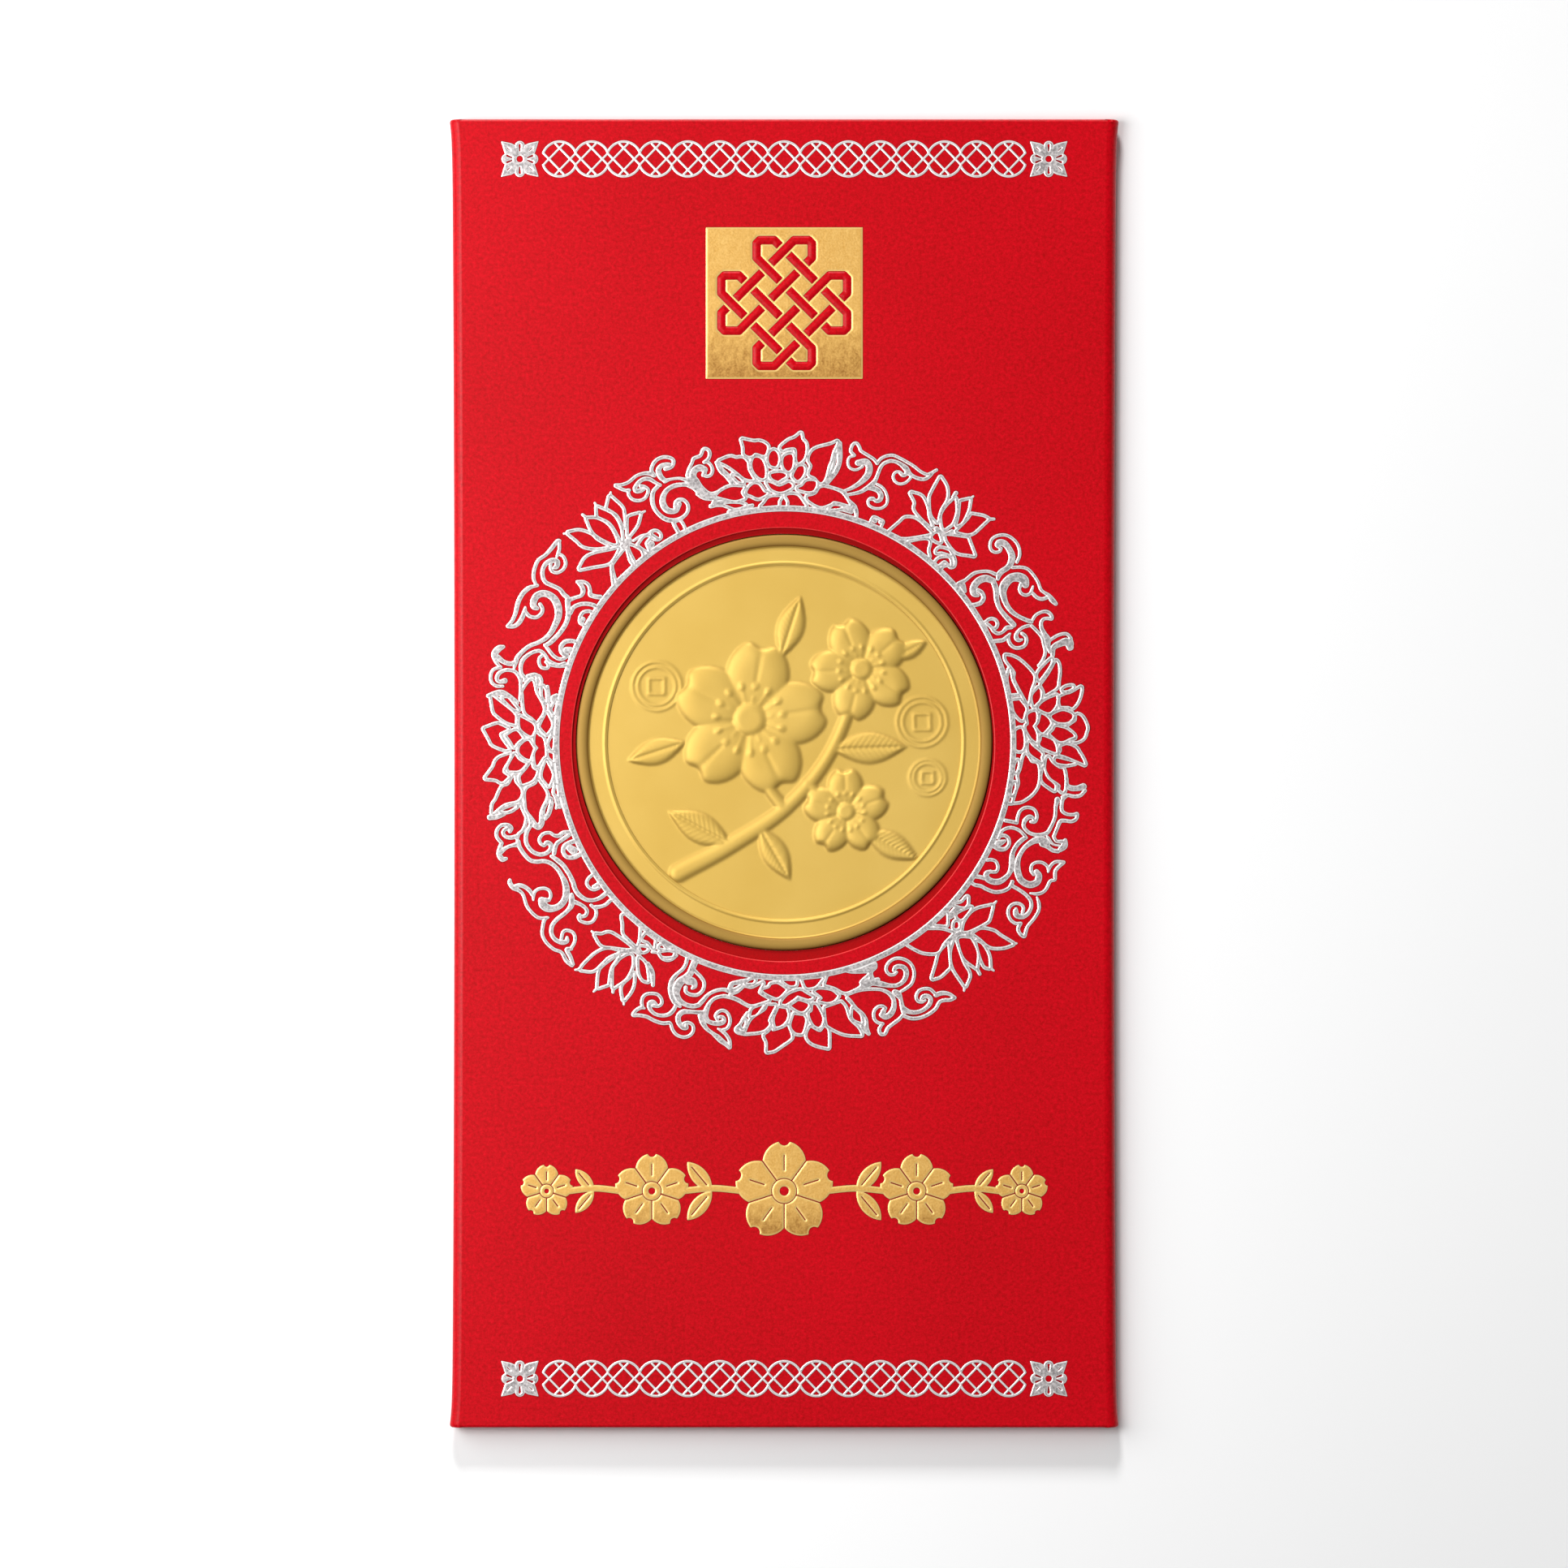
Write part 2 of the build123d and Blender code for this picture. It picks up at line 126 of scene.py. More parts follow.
def between(start, share, low, high):
    """Colour that goes from LOW to HIGH as SHARE goes from 0 to 1."""
    return start.node("Mix", {0: share, 6: low, 7: high}, 2, data_type="RGBA")


def spread(start, value, low, high):
    """VALUE stretched so that LOW becomes 0 and HIGH becomes 1, and held between them."""
    return start.node("MapRange", {"Value": value, "From Min": low, "From Max": high}, clamp=True)


def bumps(start, height, depth_mm):
    """Normal of a surface whose HEIGHT, from 0 to 1, is worth DEPTH_MM."""
    return start.node("Bump", {"Height": height, "Distance": depth_mm * mm, "Strength": 1.0})


def dress(node, material):
    """Give a carried-over solid its material."""
    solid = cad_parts[node]
    solid.data.materials.clear()
    solid.data.materials.append(material)


def wrapped_board(start):
    fibres = noise(start, 3.0, 4.0)
    return {
        "Base Color": between(start, fibres, srgb(146, 1, 8), srgb(172, 3, 13)),
        "Roughness": 0.5 + 0.25 * fibres,
        "Normal": bumps(start, fibres, 0.02),
    }


def grey_card(start):
    fibres = noise(start, 1.6, 5.0, (1.0, 0.3, 1.0))
    specks = spread(start, noise(start, 2.2), 0.62, 0.72)
    plain = between(start, fibres, srgb(206, 201, 190), srgb(228, 224, 214))
    return {
        "Base Color": between(start, 0.35 * specks, plain, srgb(150, 142, 128)),
        "Roughness": 0.8 + 0.15 * fibres,
        "Normal": bumps(start, fibres, 0.02),
    }


def dried_glue(start):
    streaks = noise(start, 0.5, 3.0, (1.0, 0.2, 1.0))
    return {
        "Base Color": between(start, streaks, srgb(226, 218, 190), srgb(243, 238, 222)),
        "Roughness": 0.25 + 0.3 * streaks,
        "Normal": bumps(start, streaks, 0.02),
    }


def white_foam(start):
    cells = start.node("TexVoronoi", {"Vector": place_in_mm(start), "Scale": 3.5}, "Distance")
    return {
        "Base Color": between(start, cells, srgb(216, 214, 206), srgb(246, 245, 240)),
        "Roughness": 0.75 + 0.2 * cells,
        "Normal": bumps(start, cells, 0.05),
    }


glue = finish("dried_glue", dried_glue)
dress("holder_board", finish("wrapped_board", wrapped_board, Specular_IOR_Level=0.1))
dress("backing_card", finish("grey_card", grey_card))
dress("medallion_pad", finish("white_foam", white_foam))
for film in ("holder_glue", "seam_glue", "bottom_glue"):
    dress(film, glue)


# Medallion: a disc stamped from thin brass sheet, with its edge rolled over and a gold wash.
# A groove, a flat band and a fine raised ring frame the sunk field, where a sprig of blossom stands up.
# It is pressed into the holder board and stuck to the foam.
def box_mm(node):
    """Lowest and highest corner of a CAD node's box, in millimetres."""
    return [np.array(corner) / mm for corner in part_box(node)]


medallion_low, medallion_high = box_mm("medallion")
medallion_centre = (medallion_low + medallion_high)[:2] / 2
medallion_radius = (medallion_high - medallion_low)[0] / 2
medallion_bottom = medallion_low[2]
foot_width = 0.12
foot_height = 0.2
rolled_edge = 1.42
roll_top = medallion_high[2] - medallion_bottom
roll_drop = 0.28
roll_fullness = 0.8
groove_width = 0.3
groove_floor = 0.6
band_height = 0.65
band_margin = 0.12
bead_radius = 23.05
bead_half_width = 0.34
bead_height = 0.1
field_radius = 22.7
field_height = 0.5
# Shares of painted shade on the gold: under the rim, over the sides of the rolled edge, in the groove and at
# the field's edge.
under_shade = 0.6
roll_shade = 0.75
groove_shade = 0.1
groove_floor_shade = 0.2
field_edge_shade = 0.5


def mesh_piece(name, points, faces, body, slot, material, sharp=np.pi, **attributes):
    """Piece from points in millimetres and faces of one corner count.

    Each attribute has a value per point. Edges that bend more than SHARP stay sharp.
    """
    mesh = bpy.data.meshes.new(name)
    used, corners = np.unique(faces, return_inverse=True)
    corners = corners.reshape(faces.shape)
    mesh.vertices.add(len(used))
    mesh.vertices.foreach_set("co", (points[used] * mm).astype(np.float32).ravel())
    mesh.loops.add(corners.size)
    mesh.loops.foreach_set("vertex_index", corners.astype(np.int32).ravel())
    mesh.polygons.add(len(corners))
    mesh.polygons.foreach_set("loop_start", np.arange(0, corners.size, faces.shape[1], dtype=np.int32))
    mesh.polygons.foreach_set("use_smooth", np.ones(len(corners), bool))
    for key, values in attributes.items():
        layer = mesh.attributes.new(key, "FLOAT", "POINT")
        layer.data.foreach_set("value", np.asarray(values, np.float32)[used])
    mesh.update(calc_edges=True)
    mesh.validate()
    mesh.set_sharp_from_angle(angle=sharp)
    mesh.materials.append(material)
    piece = bpy.data.objects.new(name, mesh)
    bpy.context.scene.collection.objects.link(piece)
    if body:
        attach(piece, body)
    return piece


def grid_faces(rows, columns, around=False, across=False):
    """Corner numbers of each cell of a grid; AROUND closes it along its rows, ACROSS along its columns."""
    numbers = np.arange(rows * columns).reshape(rows, columns)
    if around:
        numbers = np.vstack([numbers, numbers[:1]])
    if across:
        numbers = np.hstack([numbers, numbers[:, :1]])
    corners = (numbers[:-1, :-1], numbers[1:, :-1], numbers[1:, 1:], numbers[:-1, 1:])
    return np.stack(corners, -1).reshape(-1, 4)


def attribute(start, name):
    """Value that the mesh holds for each of its points under NAME."""
    return start.node("Attribute", {}, "Fac", attribute_name=name)


def gold_wash(start):
    satin = noise(start, 5.0, 3.0)
    cloud = noise(start, 0.09, 2.0)
    # The attribute read here is a share of painted shade: it darkens the gold towards brown and makes it
    # rougher.
    low = attribute(start, "recess")
    bright = between(start, cloud, srgb(201, 162, 71), srgb(219, 183, 94))
    return {
        "Base Color": between(start, low, bright, srgb(146, 110, 48)),
        "Roughness": 0.46 + 0.1 * satin + 0.1 * low,
        "Normal": bumps(start, satin, 0.004),
    }


gold = finish("gold_wash", gold_wash, Metallic=0.5)


def medallion_rim(turns=480, roll_steps=18, groove_steps=8, bead_steps=13):
    """Turned rim: a profile of radius, height and share of painted shade carried round the centre.

    The profile is the underside, its foot, an arch over the rolled edge, a round groove, the band
    and a cosine bead.
    """
    foot = medallion_radius + np.array([foot_width, foot_width, 0])
    arch = np.linspace(0, np.pi, roll_steps)
    roll_foot = roll_top - roll_drop
    roll_radius = medallion_radius - rolled_edge / 2 + rolled_edge / 2 * np.cos(arch)
    roll_height = roll_foot + roll_drop * np.sin(arch) ** roll_fullness
    groove = np.linspace(0, 1, groove_steps + 1)[1:]
    dip = np.sin(np.pi * groove)
    groove_radius = medallion_radius - rolled_edge - groove_width * groove
    groove_height = roll_foot + (band_height - roll_foot) * groove - (band_height - groove_floor) * dip
    bead = np.linspace(-1, 1, bead_steps)
    bead_radii = bead_radius - bead_half_width * bead
    bead_heights = band_height + bead_height * np.cos(bead * np.pi / 2) ** 2
    band_ends = np.array([groove_radius[-1] - band_margin, bead_radii[0] + band_margin])
    # Each run ends in its share of painted shade; the band and the bead get none.
    profile = (
        ([field_radius, *foot], [0, 0, foot_height, foot_height], [under_shade, 1, 1, 1]),
        (roll_radius, roll_height, roll_shade + (1 - roll_shade) * np.cos(arch) ** 2),
        (groove_radius, groove_height, groove_shade + groove_floor_shade * dip),
        (band_ends, 0 * band_ends + band_height, 0 * band_ends),
        (bead_radii, bead_heights, 0 * bead),
        ([field_radius], [field_height], [field_edge_shade]),
    )
    radii, heights, recess = (np.concatenate(run) for run in zip(*profile))
    turn = np.linspace(0, 2 * np.pi, turns, endpoint=False)[:, None]
    x = medallion_centre[0] + radii * np.cos(turn)
    y = medallion_centre[1] + radii * np.sin(turn)
    z = medallion_bottom + heights + 0 * turn
    points = np.stack([x, y, z], -1).reshape(-1, 3)
    faces = grid_faces(turns, len(radii), around=True, across=True)
    piece = mesh_piece("medallion_rim", points, faces, "envelope", "medallion_gold", gold,
                       recess=np.tile(recess, turns))
    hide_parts("medallion")


# The sprig in the field, in shares of the field's radius: place, radius and turn of each blossom,
# place, length and lean of each leaf, place and half width along each twig, place and radius of each coin.
blossoms = ((-0.196, 0.131, 0.45, 8.0), (0.436, 0.414, 0.3, 40.0), (0.349, -0.392, 0.25, 20.0))
leaves = (
    (-0.02, 0.48, 0.36, -18),
    (-0.56, 0.0, 0.34, 108),
    (-0.3, -0.58, 0.4, 62),
    (-0.14, -0.48, 0.34, -150),
    (0.27, -0.04, 0.42, -88),
    (0.61, 0.47, 0.22, -62),
    (0.45, -0.5, 0.34, -118),
)
twigs = (
    ((-0.6, -0.74, 0.05), (-0.3, -0.58, 0.045), (0.02, -0.36, 0.04), (0.26, -0.06, 0.035),
     (0.44, 0.38, 0.03)),
    ((0.0, -0.38, 0.035), (-0.12, -0.2, 0.03), (-0.19, 0.1, 0.03)),
    ((0.13, -0.23, 0.03), (0.24, -0.34, 0.028), (0.34, -0.39, 0.025)),
)
coins = ((-0.722, 0.317, 0.137), (0.78, 0.115, 0.141), (0.811, -0.2, 0.101))

# The forms on it: heights and the coins' line in millimetres, the rest in shares of a coin, leaf or blossom.
blossom_relief = 0.5
leaf_relief = 0.3
branch_relief = 0.3
coin_relief = 0.1
coin_line = 0.17
coin_ring = 0.78
coin_hole = 0.32
leaf_slimness = 0.42
leaf_fullness = 1.6
vein_depth = 0.45
midrib_width = 0.09
side_vein_share = 0.5
side_vein_turns = 40
side_vein_sweep = 0.16
side_vein_sharpness = 8
petal_count = 5
petal_place = 0.56
petal_size = 0.44
petal_squeeze = 1.12
petal_fullness = 1.5
petal_foot = 0.72
notch_size = (0.12, 0.1)
notch_depth = 0.5
crease_width = 0.05
crease_start = 0.3
crease_depth = 0.12
heart_size = 0.22
heart_edge = 0.1
heart_relief = 0.9
stamen_count = 15
stamen_ring = 0.42
stamen_size = (0.055, 0.24)
stamen_relief = 0.22
stalk_start = 0.2
stalk_width = 0.1
stalk_share = 0.5
# Painted shade at the foot of the relief: slope and height over which the gold is darkened, and how much.
foot_slope = 1.2
foot_reach = 0.3
foot_shade = 0.8


def smooth(points, steps=8):
    """Catmull-Rom curve through the points, in STEPS short runs between each two of them."""
    points = np.asarray(points, float)
    ends = np.vstack([2 * points[0] - points[1], points, 2 * points[-1] - points[-2]])
    a, b, c, d = (ends[k : len(ends) - 3 + k, None] for k in range(4))
    t = np.linspace(0, 1, steps, endpoint=False)[None, :, None]
    curve = b + 0.5 * t * (c - a + t * (2 * a - 5 * b + 4 * c - d + t * (3 * (b - c) + d - a)))
    return np.vstack([curve.reshape(-1, points.shape[1]), points[-1:]])


def gap_to_path(x, y, path):
    """Distance of each place from a path of x, y and, where given, half width, which is taken off."""
    start, end = path[:-1], path[1:]
    run = end - start
    length = np.maximum((run[:, :2] ** 2).sum(1), 1e-12)
    along_x = x[..., None] - start[:, 0]
    along_y = y[..., None] - start[:, 1]
    share = np.clip((along_x * run[:, 0] + along_y * run[:, 1]) / length, 0, 1)
    gap = np.hypot(along_x - share * run[:, 0], along_y - share * run[:, 1])
    if path.shape[1] > 2:
        gap = gap - (start[:, 2] + share * run[:, 2])
    return gap.min(-1)


def dome(share):
    """Quarter round that is 0 at the rim, where SHARE is 0, and 1 where it reaches 1."""
    share = np.clip(share, 0, 1)
    return np.sqrt(1 - (1 - share) ** 2)


def turned(x, y, degrees):
    """Places as seen along axes that are turned by DEGREES."""
    turn = np.radians(degrees)
    return x * np.cos(turn) + y * np.sin(turn), y * np.cos(turn) - x * np.sin(turn)


def from_spoke(turn, count):
    """Turn from the nearest of COUNT even spokes, as a share of the turn between two."""
    return (turn / (2 * np.pi / count) + 0.5) % 1 - 0.5


def bump(value, width):
    """Bell curve of height 1 and the given width."""
    return np.exp(-((value / width) ** 2))


def coin_height(x, y, coin_x, coin_y, size):
    """Coin: two rings round a square, all of the same line."""
    u, v = x / field_radius - coin_x, y / field_radius - coin_y
    far = np.hypot(u, v)
    hole = np.maximum(np.abs(u), np.abs(v))
    rings = np.minimum(np.abs(far - size), np.abs(far - coin_ring * size))
    lines = np.minimum(rings, np.abs(hole - coin_hole * size))
    return coin_relief * dome(1 - lines * field_radius / coin_line)


def leaf_height(x, y, leaf_x, leaf_y, length, lean):
    """Leaf: domed between two sine arcs, with a midrib and side veins sunk in it."""
    across, along = turned(x - leaf_x * field_radius, y - leaf_y * field_radius, lean)
    along = along / (length * field_radius)
    across = across / (length * field_radius * leaf_slimness / 2)
    inside = 1 - np.abs(across) / np.maximum(np.sin(np.pi * np.clip(along, 0.001, 0.999)), 1e-3)
    side_veins = np.cos(side_vein_turns * (along - side_vein_sweep * np.abs(across))) ** side_vein_sharpness
    vein = bump(across, midrib_width) + side_vein_share * side_veins
    inside = np.where((along > 0) & (along < 1), inside, 0)
    return leaf_relief * dome(leaf_fullness * inside) * (1 - vein_depth * vein)


def blossom_height(x, y, flower_x, flower_y, size, first):
    """Blossom: petals that are domed circles, creased and notched at the tip, round a heart and stamens."""
    u, v = x - flower_x * field_radius, y - flower_y * field_radius
    far = np.hypot(u, v) / (size * field_radius)
    turn = np.arctan2(v, u) - np.radians(first)
    side = from_spoke(turn, petal_count) * 2 * np.pi / petal_count
    petal_x, petal_y = far * np.cos(side) - petal_place, petal_squeeze * far * np.sin(side)
    inside = 1 - np.hypot(petal_x, petal_y) / petal_size
    notch = bump(far - 1, notch_size[0]) * bump(side, notch_size[1])
    crease = bump(side, crease_width) * (far > crease_start)
    raised = dome(petal_fullness * (inside - notch_depth * notch))
    raised = raised * (petal_foot + (1 - petal_foot) * far - crease_depth * crease)
    heart = heart_relief * dome((heart_size - far) / heart_edge)
    spoke = from_spoke(turn, stamen_count)
    tips = dome(1 - np.hypot((far - stamen_ring) / stamen_size[0], spoke / stamen_size[1]))
    stalks = bump(spoke, stalk_width) * ((far > stalk_start) & (far < stamen_ring))
    stamens = stamen_relief * (tips + stalk_share * stalks) * (inside > 0)
    return blossom_relief * np.maximum(raised + stamens, heart)


def sprig_relief(x, y):
    """Height of the relief over the field: the highest of the coins, twigs, leaves and blossoms."""
    heights = [0 * x]
    heights += [coin_height(x, y, *coin) for coin in coins]
    for twig in twigs:
        path = smooth(np.array(twig)) * field_radius
        thick = path[:, 2].mean()
        heights.append(branch_relief * dome(-gap_to_path(x, y, path) / thick))
    heights += [leaf_height(x, y, *leaf) for leaf in leaves]
    heights += [blossom_height(x, y, *blossom) for blossom in blossoms]
    return np.maximum.reduce(heights)


def medallion_field(steps=310):
    """Field with its sprig: a square grid drawn out to a disc, x = u sqrt(1 - v v / 2) and y the same way.

    Each height is then averaged with the next ones, because stamped sheet has no sharp edges.
    """
    share = np.linspace(-1, 1, steps)
    u, v = np.meshgrid(share, share, indexing="ij")
    x = field_radius * u * np.sqrt(1 - v**2 / 2)
    y = field_radius * v * np.sqrt(1 - u**2 / 2)
    relief = sprig_relief(x, y)
    for axis in (0, 1, 0, 1):
        relief = (np.roll(relief, 1, axis) + 2 * relief + np.roll(relief, -1, axis)) / 4
    # Painted shade: the gold is darkened where the relief is steep and still low, at its foot.
    slope = np.hypot(*np.gradient(relief, field_radius * 2 / steps))
    foot = np.clip(foot_slope * slope, 0, 1) * np.clip(1 - relief / foot_reach, 0, 1)
    z = medallion_bottom + field_height + relief
    points = np.stack([medallion_centre[0] + x, medallion_centre[1] + y, z], -1).reshape(-1, 3)
    faces = grid_faces(steps, steps)
    piece = mesh_piece("medallion_field", points, faces, "envelope", "medallion_gold", gold,
                       recess=foot_shade * foot.ravel())
    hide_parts("medallion")


medallion_rim()
medallion_field()


# Red sheet: one die-cut blank of red card with a fine felt-like grain, creased and folded round the holder.
# Its front has the window, a little taller than wide. Half-round folds lead to the back and the seam flap,
# which are glued together, and the bottom flap is glued up on the back.
front_low, front_high = box_mm("front_panel")
panel_left, panel_bottom = front_low[:2]
panel_right, panel_top = front_high[:2]
front_bottom, front_top = front_low[2], front_high[2]
card = front_top - front_bottom
window_half = medallion_radius + np.array([0.45, 1.15])
window_shift = np.array([-0.15, -0.3])
card_edge = 0.6
cut_round = 0.12
cut_flat = 1.3
# Strongest painted highlight on the window's cut edge.
lip_highlight_share = 0.4
side_hold = 8
bow_in = 0.1
corner_flare = 0.3
flare_reach = 2.2
end_spread = 0.28
fold_tip = 0.45


def red_card(start):
    felt = noise(start, 2.2, 4.0)
    fine = noise(start, 5.0, 3.0)
    cloud = noise(start, 0.03, 2.0)
    # The window's cut edge carries a painted highlight: its rounded lip is mixed towards light pink.
    cut = attribute(start, "cut_edge")
    tone = spread(start, 0.5 * felt + 0.35 * fine + 0.15 * cloud, 0.32, 0.68)
    face = between(start, tone, srgb(158, 0, 12), srgb(212, 4, 30))
    return {
        "Base Color": between(start, cut, face, srgb(255, 96, 90)),
        "Roughness": 0.27 + 0.08 * fine,
        "Normal": bumps(start, 0.5 * felt + 0.5 * fine, 0.011),
    }


paper = finish("red_card", red_card, Specular_IOR_Level=0.15)


def spread_of_sides(y):
    """How far the side folds stand out: drawn in at the middle, wider to the ends, flared at the corners."""
    share = np.abs(y) / panel_top
    return end_spread * share**2 + corner_flare * np.exp((np.abs(y) - panel_top) / flare_reach) - bow_in


def front_sheet(turns=720, lip_steps=5, steps=24, under_step=3):
    """Front of the sheet: straight lines from an oval to the panel's outline, both cut at the same angles.

    The section carried round the window is its rounded cut edge, the face, the outer edge and the underside.
    """
    centre = medallion_centre
    turn = np.linspace(0, 2 * np.pi, turns, endpoint=False)
    corners = [np.arctan2(y - centre[1], x - centre[0]) for x in (panel_left, panel_right)
               for y in (panel_bottom, panel_top)]
    turn = np.unique(np.concatenate([turn, np.mod(corners, 2 * np.pi)]))
    direction = np.stack([np.cos(turn), np.sin(turn)], -1)
    limit = np.where(direction > 0, [panel_right - centre[0], panel_top - centre[1]],
                     [centre[0] - panel_left, centre[1] - panel_bottom])
    reach = (limit / np.maximum(np.abs(direction), 1e-9)).min(1)
    lip = np.linspace(0, np.pi / 2, lip_steps)
    window = 1 / np.hypot(*(direction / window_half).T) + direction @ window_shift
    near = window[:, None] + np.concatenate([[0], cut_round * (1 - np.cos(lip)), [cut_flat * cut_round]])
    rise = front_top - np.concatenate([[card], cut_round * (1 - np.sin(lip)), [0]])
    shares = np.linspace(0, 1, steps + 1)[1:]
    under = shares[::-under_step]
    radius = np.concatenate([
        near,
        near[:, -1:] + (reach[:, None] - near[:, -1:]) * shares,
        near[:, :1] + (reach[:, None] - near[:, :1]) * under,
    ], 1)
    height = np.concatenate([rise, np.full(len(shares), front_top), np.full(len(under), front_bottom)])
    # Share of painted highlight over the window's rounded cut edge, rising towards the face.
    cut = np.concatenate([[0], np.linspace(0, lip_highlight_share, lip_steps), [0], 0 * shares, 0 * under])
    x = centre[0] + radius * direction[:, :1]
    y = centre[1] + radius * direction[:, 1:]
    side = np.clip(np.abs(x) / panel_right, 0, 1) ** side_hold
    x = x + np.sign(x) * side * spread_of_sides(y)
    z = np.repeat(height[None], len(turn), 0)
    points = np.stack([x, y, z], -1).reshape(-1, 3)
    faces = grid_faces(len(turn), radius.shape[1], around=True, across=True)[:, ::-1]
    piece = mesh_piece("front_sheet", points, faces, "envelope", "red_card", paper, card_edge,
                       cut_edge=np.tile(cut, len(turn)))
    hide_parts("front_panel")


def side_sheet(node, side, rows=160, steps=22):
    """Half-round side fold: an arch of the card's outer and inner faces carried up the envelope's edge."""
    low, high = box_mm(node)
    outer = (high[2] - low[2]) / 2
    middle = (high[2] + low[2]) / 2
    start = panel_right if side > 0 else panel_left
    arch = np.linspace(-np.pi / 2, np.pi / 2, steps)
    radius = np.concatenate([np.full(steps, outer), np.full(steps, outer - card)])
    arch = np.concatenate([arch, arch[::-1]])
    end = high[1] + card
    y = end * np.sin(np.linspace(-np.pi / 2, np.pi / 2, rows))[:, None]
    tip = np.clip((np.abs(y) - end) / fold_tip + 1, 0, 1)
    x = start + side * (radius * np.cos(arch) + spread_of_sides(y) - fold_tip * (1 - np.sqrt(1 - tip**2)))
    z = middle + radius * np.sin(arch) + 0 * y
    points = np.stack([x, y + 0 * z, z], -1)
    faces = [grid_faces(rows, 2 * steps, across=True)]
    for row, order in ((0, -1), (rows - 1, 1)):
        rim = row * 2 * steps + np.arange(2 * steps)
        back = rim[::-1]
        cells = np.stack([rim[: steps - 1], rim[1:steps], back[1:steps], back[: steps - 1]], -1)
        faces.append(cells[:, ::order])
    faces = np.concatenate(faces)
    piece = mesh_piece(node.replace("fold", "sheet"), points.reshape(-1, 3),
                       faces[:, ::-1] if side > 0 else faces, "envelope", "red_card", paper, card_edge)
    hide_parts(node)


front_sheet()
side_sheet("left_side_fold", -1)
side_sheet("right_side_fold", 1)
for panel in ("back_panel", "seam_flap"):
    dress(panel, paper)


# End folds and flaps: the two ends of the same sheet, each bent twice round the end of the stack.
# The bottom flap is glued to the back. The top flap lies loose on the back and could open at its two
# creases, where the card itself bends; here it is built closed.
crease_inside = 0.02


def card_shell(name, outer, inner, body, slot, material):
    """Closed piece of card between two grids of one shape, its outer and its inner face, and their rims."""
    rows, columns = outer.shape[:2]
    count = rows * columns
    numbers = np.arange(count).reshape(rows, columns)
    rim = np.concatenate([numbers[0], numbers[1:, -1], numbers[-1, -2::-1], numbers[-2:0:-1, 0]])
    after = np.roll(rim, -1)
    sides = np.stack([rim, after, after + count, rim + count], -1)
    faces = np.concatenate([grid_faces(rows, columns), grid_faces(rows, columns)[:, ::-1] + count, sides])
    points = np.concatenate([outer.reshape(-1, 3), inner.reshape(-1, 3)])
    a, b, c, d = (points[faces[:, k]] for k in range(4))
    if (np.cross(c - a, d - b) * (a + b + c + d)).sum() < 0:
        faces = faces[:, ::-1]
    return mesh_piece(name, points, faces, body, slot, material, card_edge)


def bend(centre_z, first, last, steps=10):
    """Outer and inner faces of a crease, as y past the panel's end and z: arcs round its inner corner."""
    turn = np.radians(np.linspace(first, last, steps))
    arc = np.column_stack([np.sin(turn), np.cos(turn)])
    return [np.array([0, centre_z]) + radius * arc for radius in (card, crease_inside)]


def flap_width(y, half, length, taper, corner):
    """Half width of a flap at Y from its root: drawn in evenly, with a round corner at its free edge."""
    lean = np.arctan2(taper, length)
    straight = half - y * np.tan(lean)
    round_y = length - corner
    round_x = half - round_y * np.tan(lean) - corner / np.cos(lean)
    rounded = round_x + np.sqrt(np.maximum(corner**2 - (y - round_y) ** 2, 0))
    return np.where(y > round_y + corner * np.sin(lean), rounded, straight)


def end_sheets(side, fold, flap, taper, corner, columns=48, straight_steps=11, round_steps=13):
    """End of the sheet in two pieces that meet half way down the wall: a profile of y and z carried across.

    TAPER is how much narrower each side is at the flap's free edge, and CORNER the radius there.
    """
    half = box_mm(fold)[1][0]
    flap_low, flap_high = box_mm(flap)
    length = flap_high[1] - flap_low[1]
    wall = (front_bottom + card) / 2
    straight = np.linspace(0, length - corner, straight_steps + 1)[1:]
    rounded = length - corner + corner * np.sin(np.linspace(0, np.pi / 2, round_steps + 1))[1:]
    reach = np.concatenate([straight, rounded])
    upper = bend(front_bottom, 0, 90)
    lower = bend(card, 90, 180)
    pieces = []
    for name, outer_run, inner_run in (
        (fold.replace("fold", "crease"), *(np.vstack([arc, [arc[-1, 0], wall]]) for arc in upper)),
        (flap.replace("flap", "sheet"), *(
            np.vstack([[arc[0, 0], wall], arc, np.column_stack([-reach, np.full(len(reach), arc[-1, 1])])])
            for arc in lower)),
    ):
        faces = []
        for run in (outer_run, inner_run):
            widths = flap_width(np.maximum(-outer_run[:, 0], 0), half, length, taper, corner)
            x = widths[:, None] * np.linspace(-1, 1, columns)
            y = side * (panel_top + run[:, :1]) + 0 * x
            z = run[:, 1:] + 0 * x
            faces.append(np.stack([x, y, z], -1))
        body = None if side > 0 else "envelope"
        pieces.append(card_shell(name, *faces, body, "red_card", paper))
    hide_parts(fold)
    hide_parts(flap)
    return pieces


end_sheets(-1, "bottom_fold", "bottom_flap", taper=4.0, corner=2.0)
top_crease, flap_sheet = end_sheets(1, "top_fold", "top_flap", taper=9.0, corner=7.0)
turned_edge = (panel_top + card) * mm
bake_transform(top_crease)
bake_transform(flap_sheet)


# Silver borders: aluminium foil pressed hot into the front, which stands up a little under it.
# A chain of overlapping rings, each with a diamond of straight lines in it, runs along both ends,
# and a rosette of pointed leaves and round petals closes each end of a chain.
foil_flatness = 0.55
foil_rise = foil_flatness * (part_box("top_border")[1][2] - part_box("front_panel")[1][2]) / mm
foil_base = 0.01
foil_shoulder = 0.15
# Each foil reaches a thin rim past its edge, drawn in dark red as a painted shadow on the card.
shadow_rim_width = 0.07
painted_edge_shadow = srgb(140, 4, 16)
foil_grid = 0.085
stamp_margin = 2 * foil_grid
no_foil = -9.0
edge_pull = 1.5 * foil_grid
least_steep = 0.25


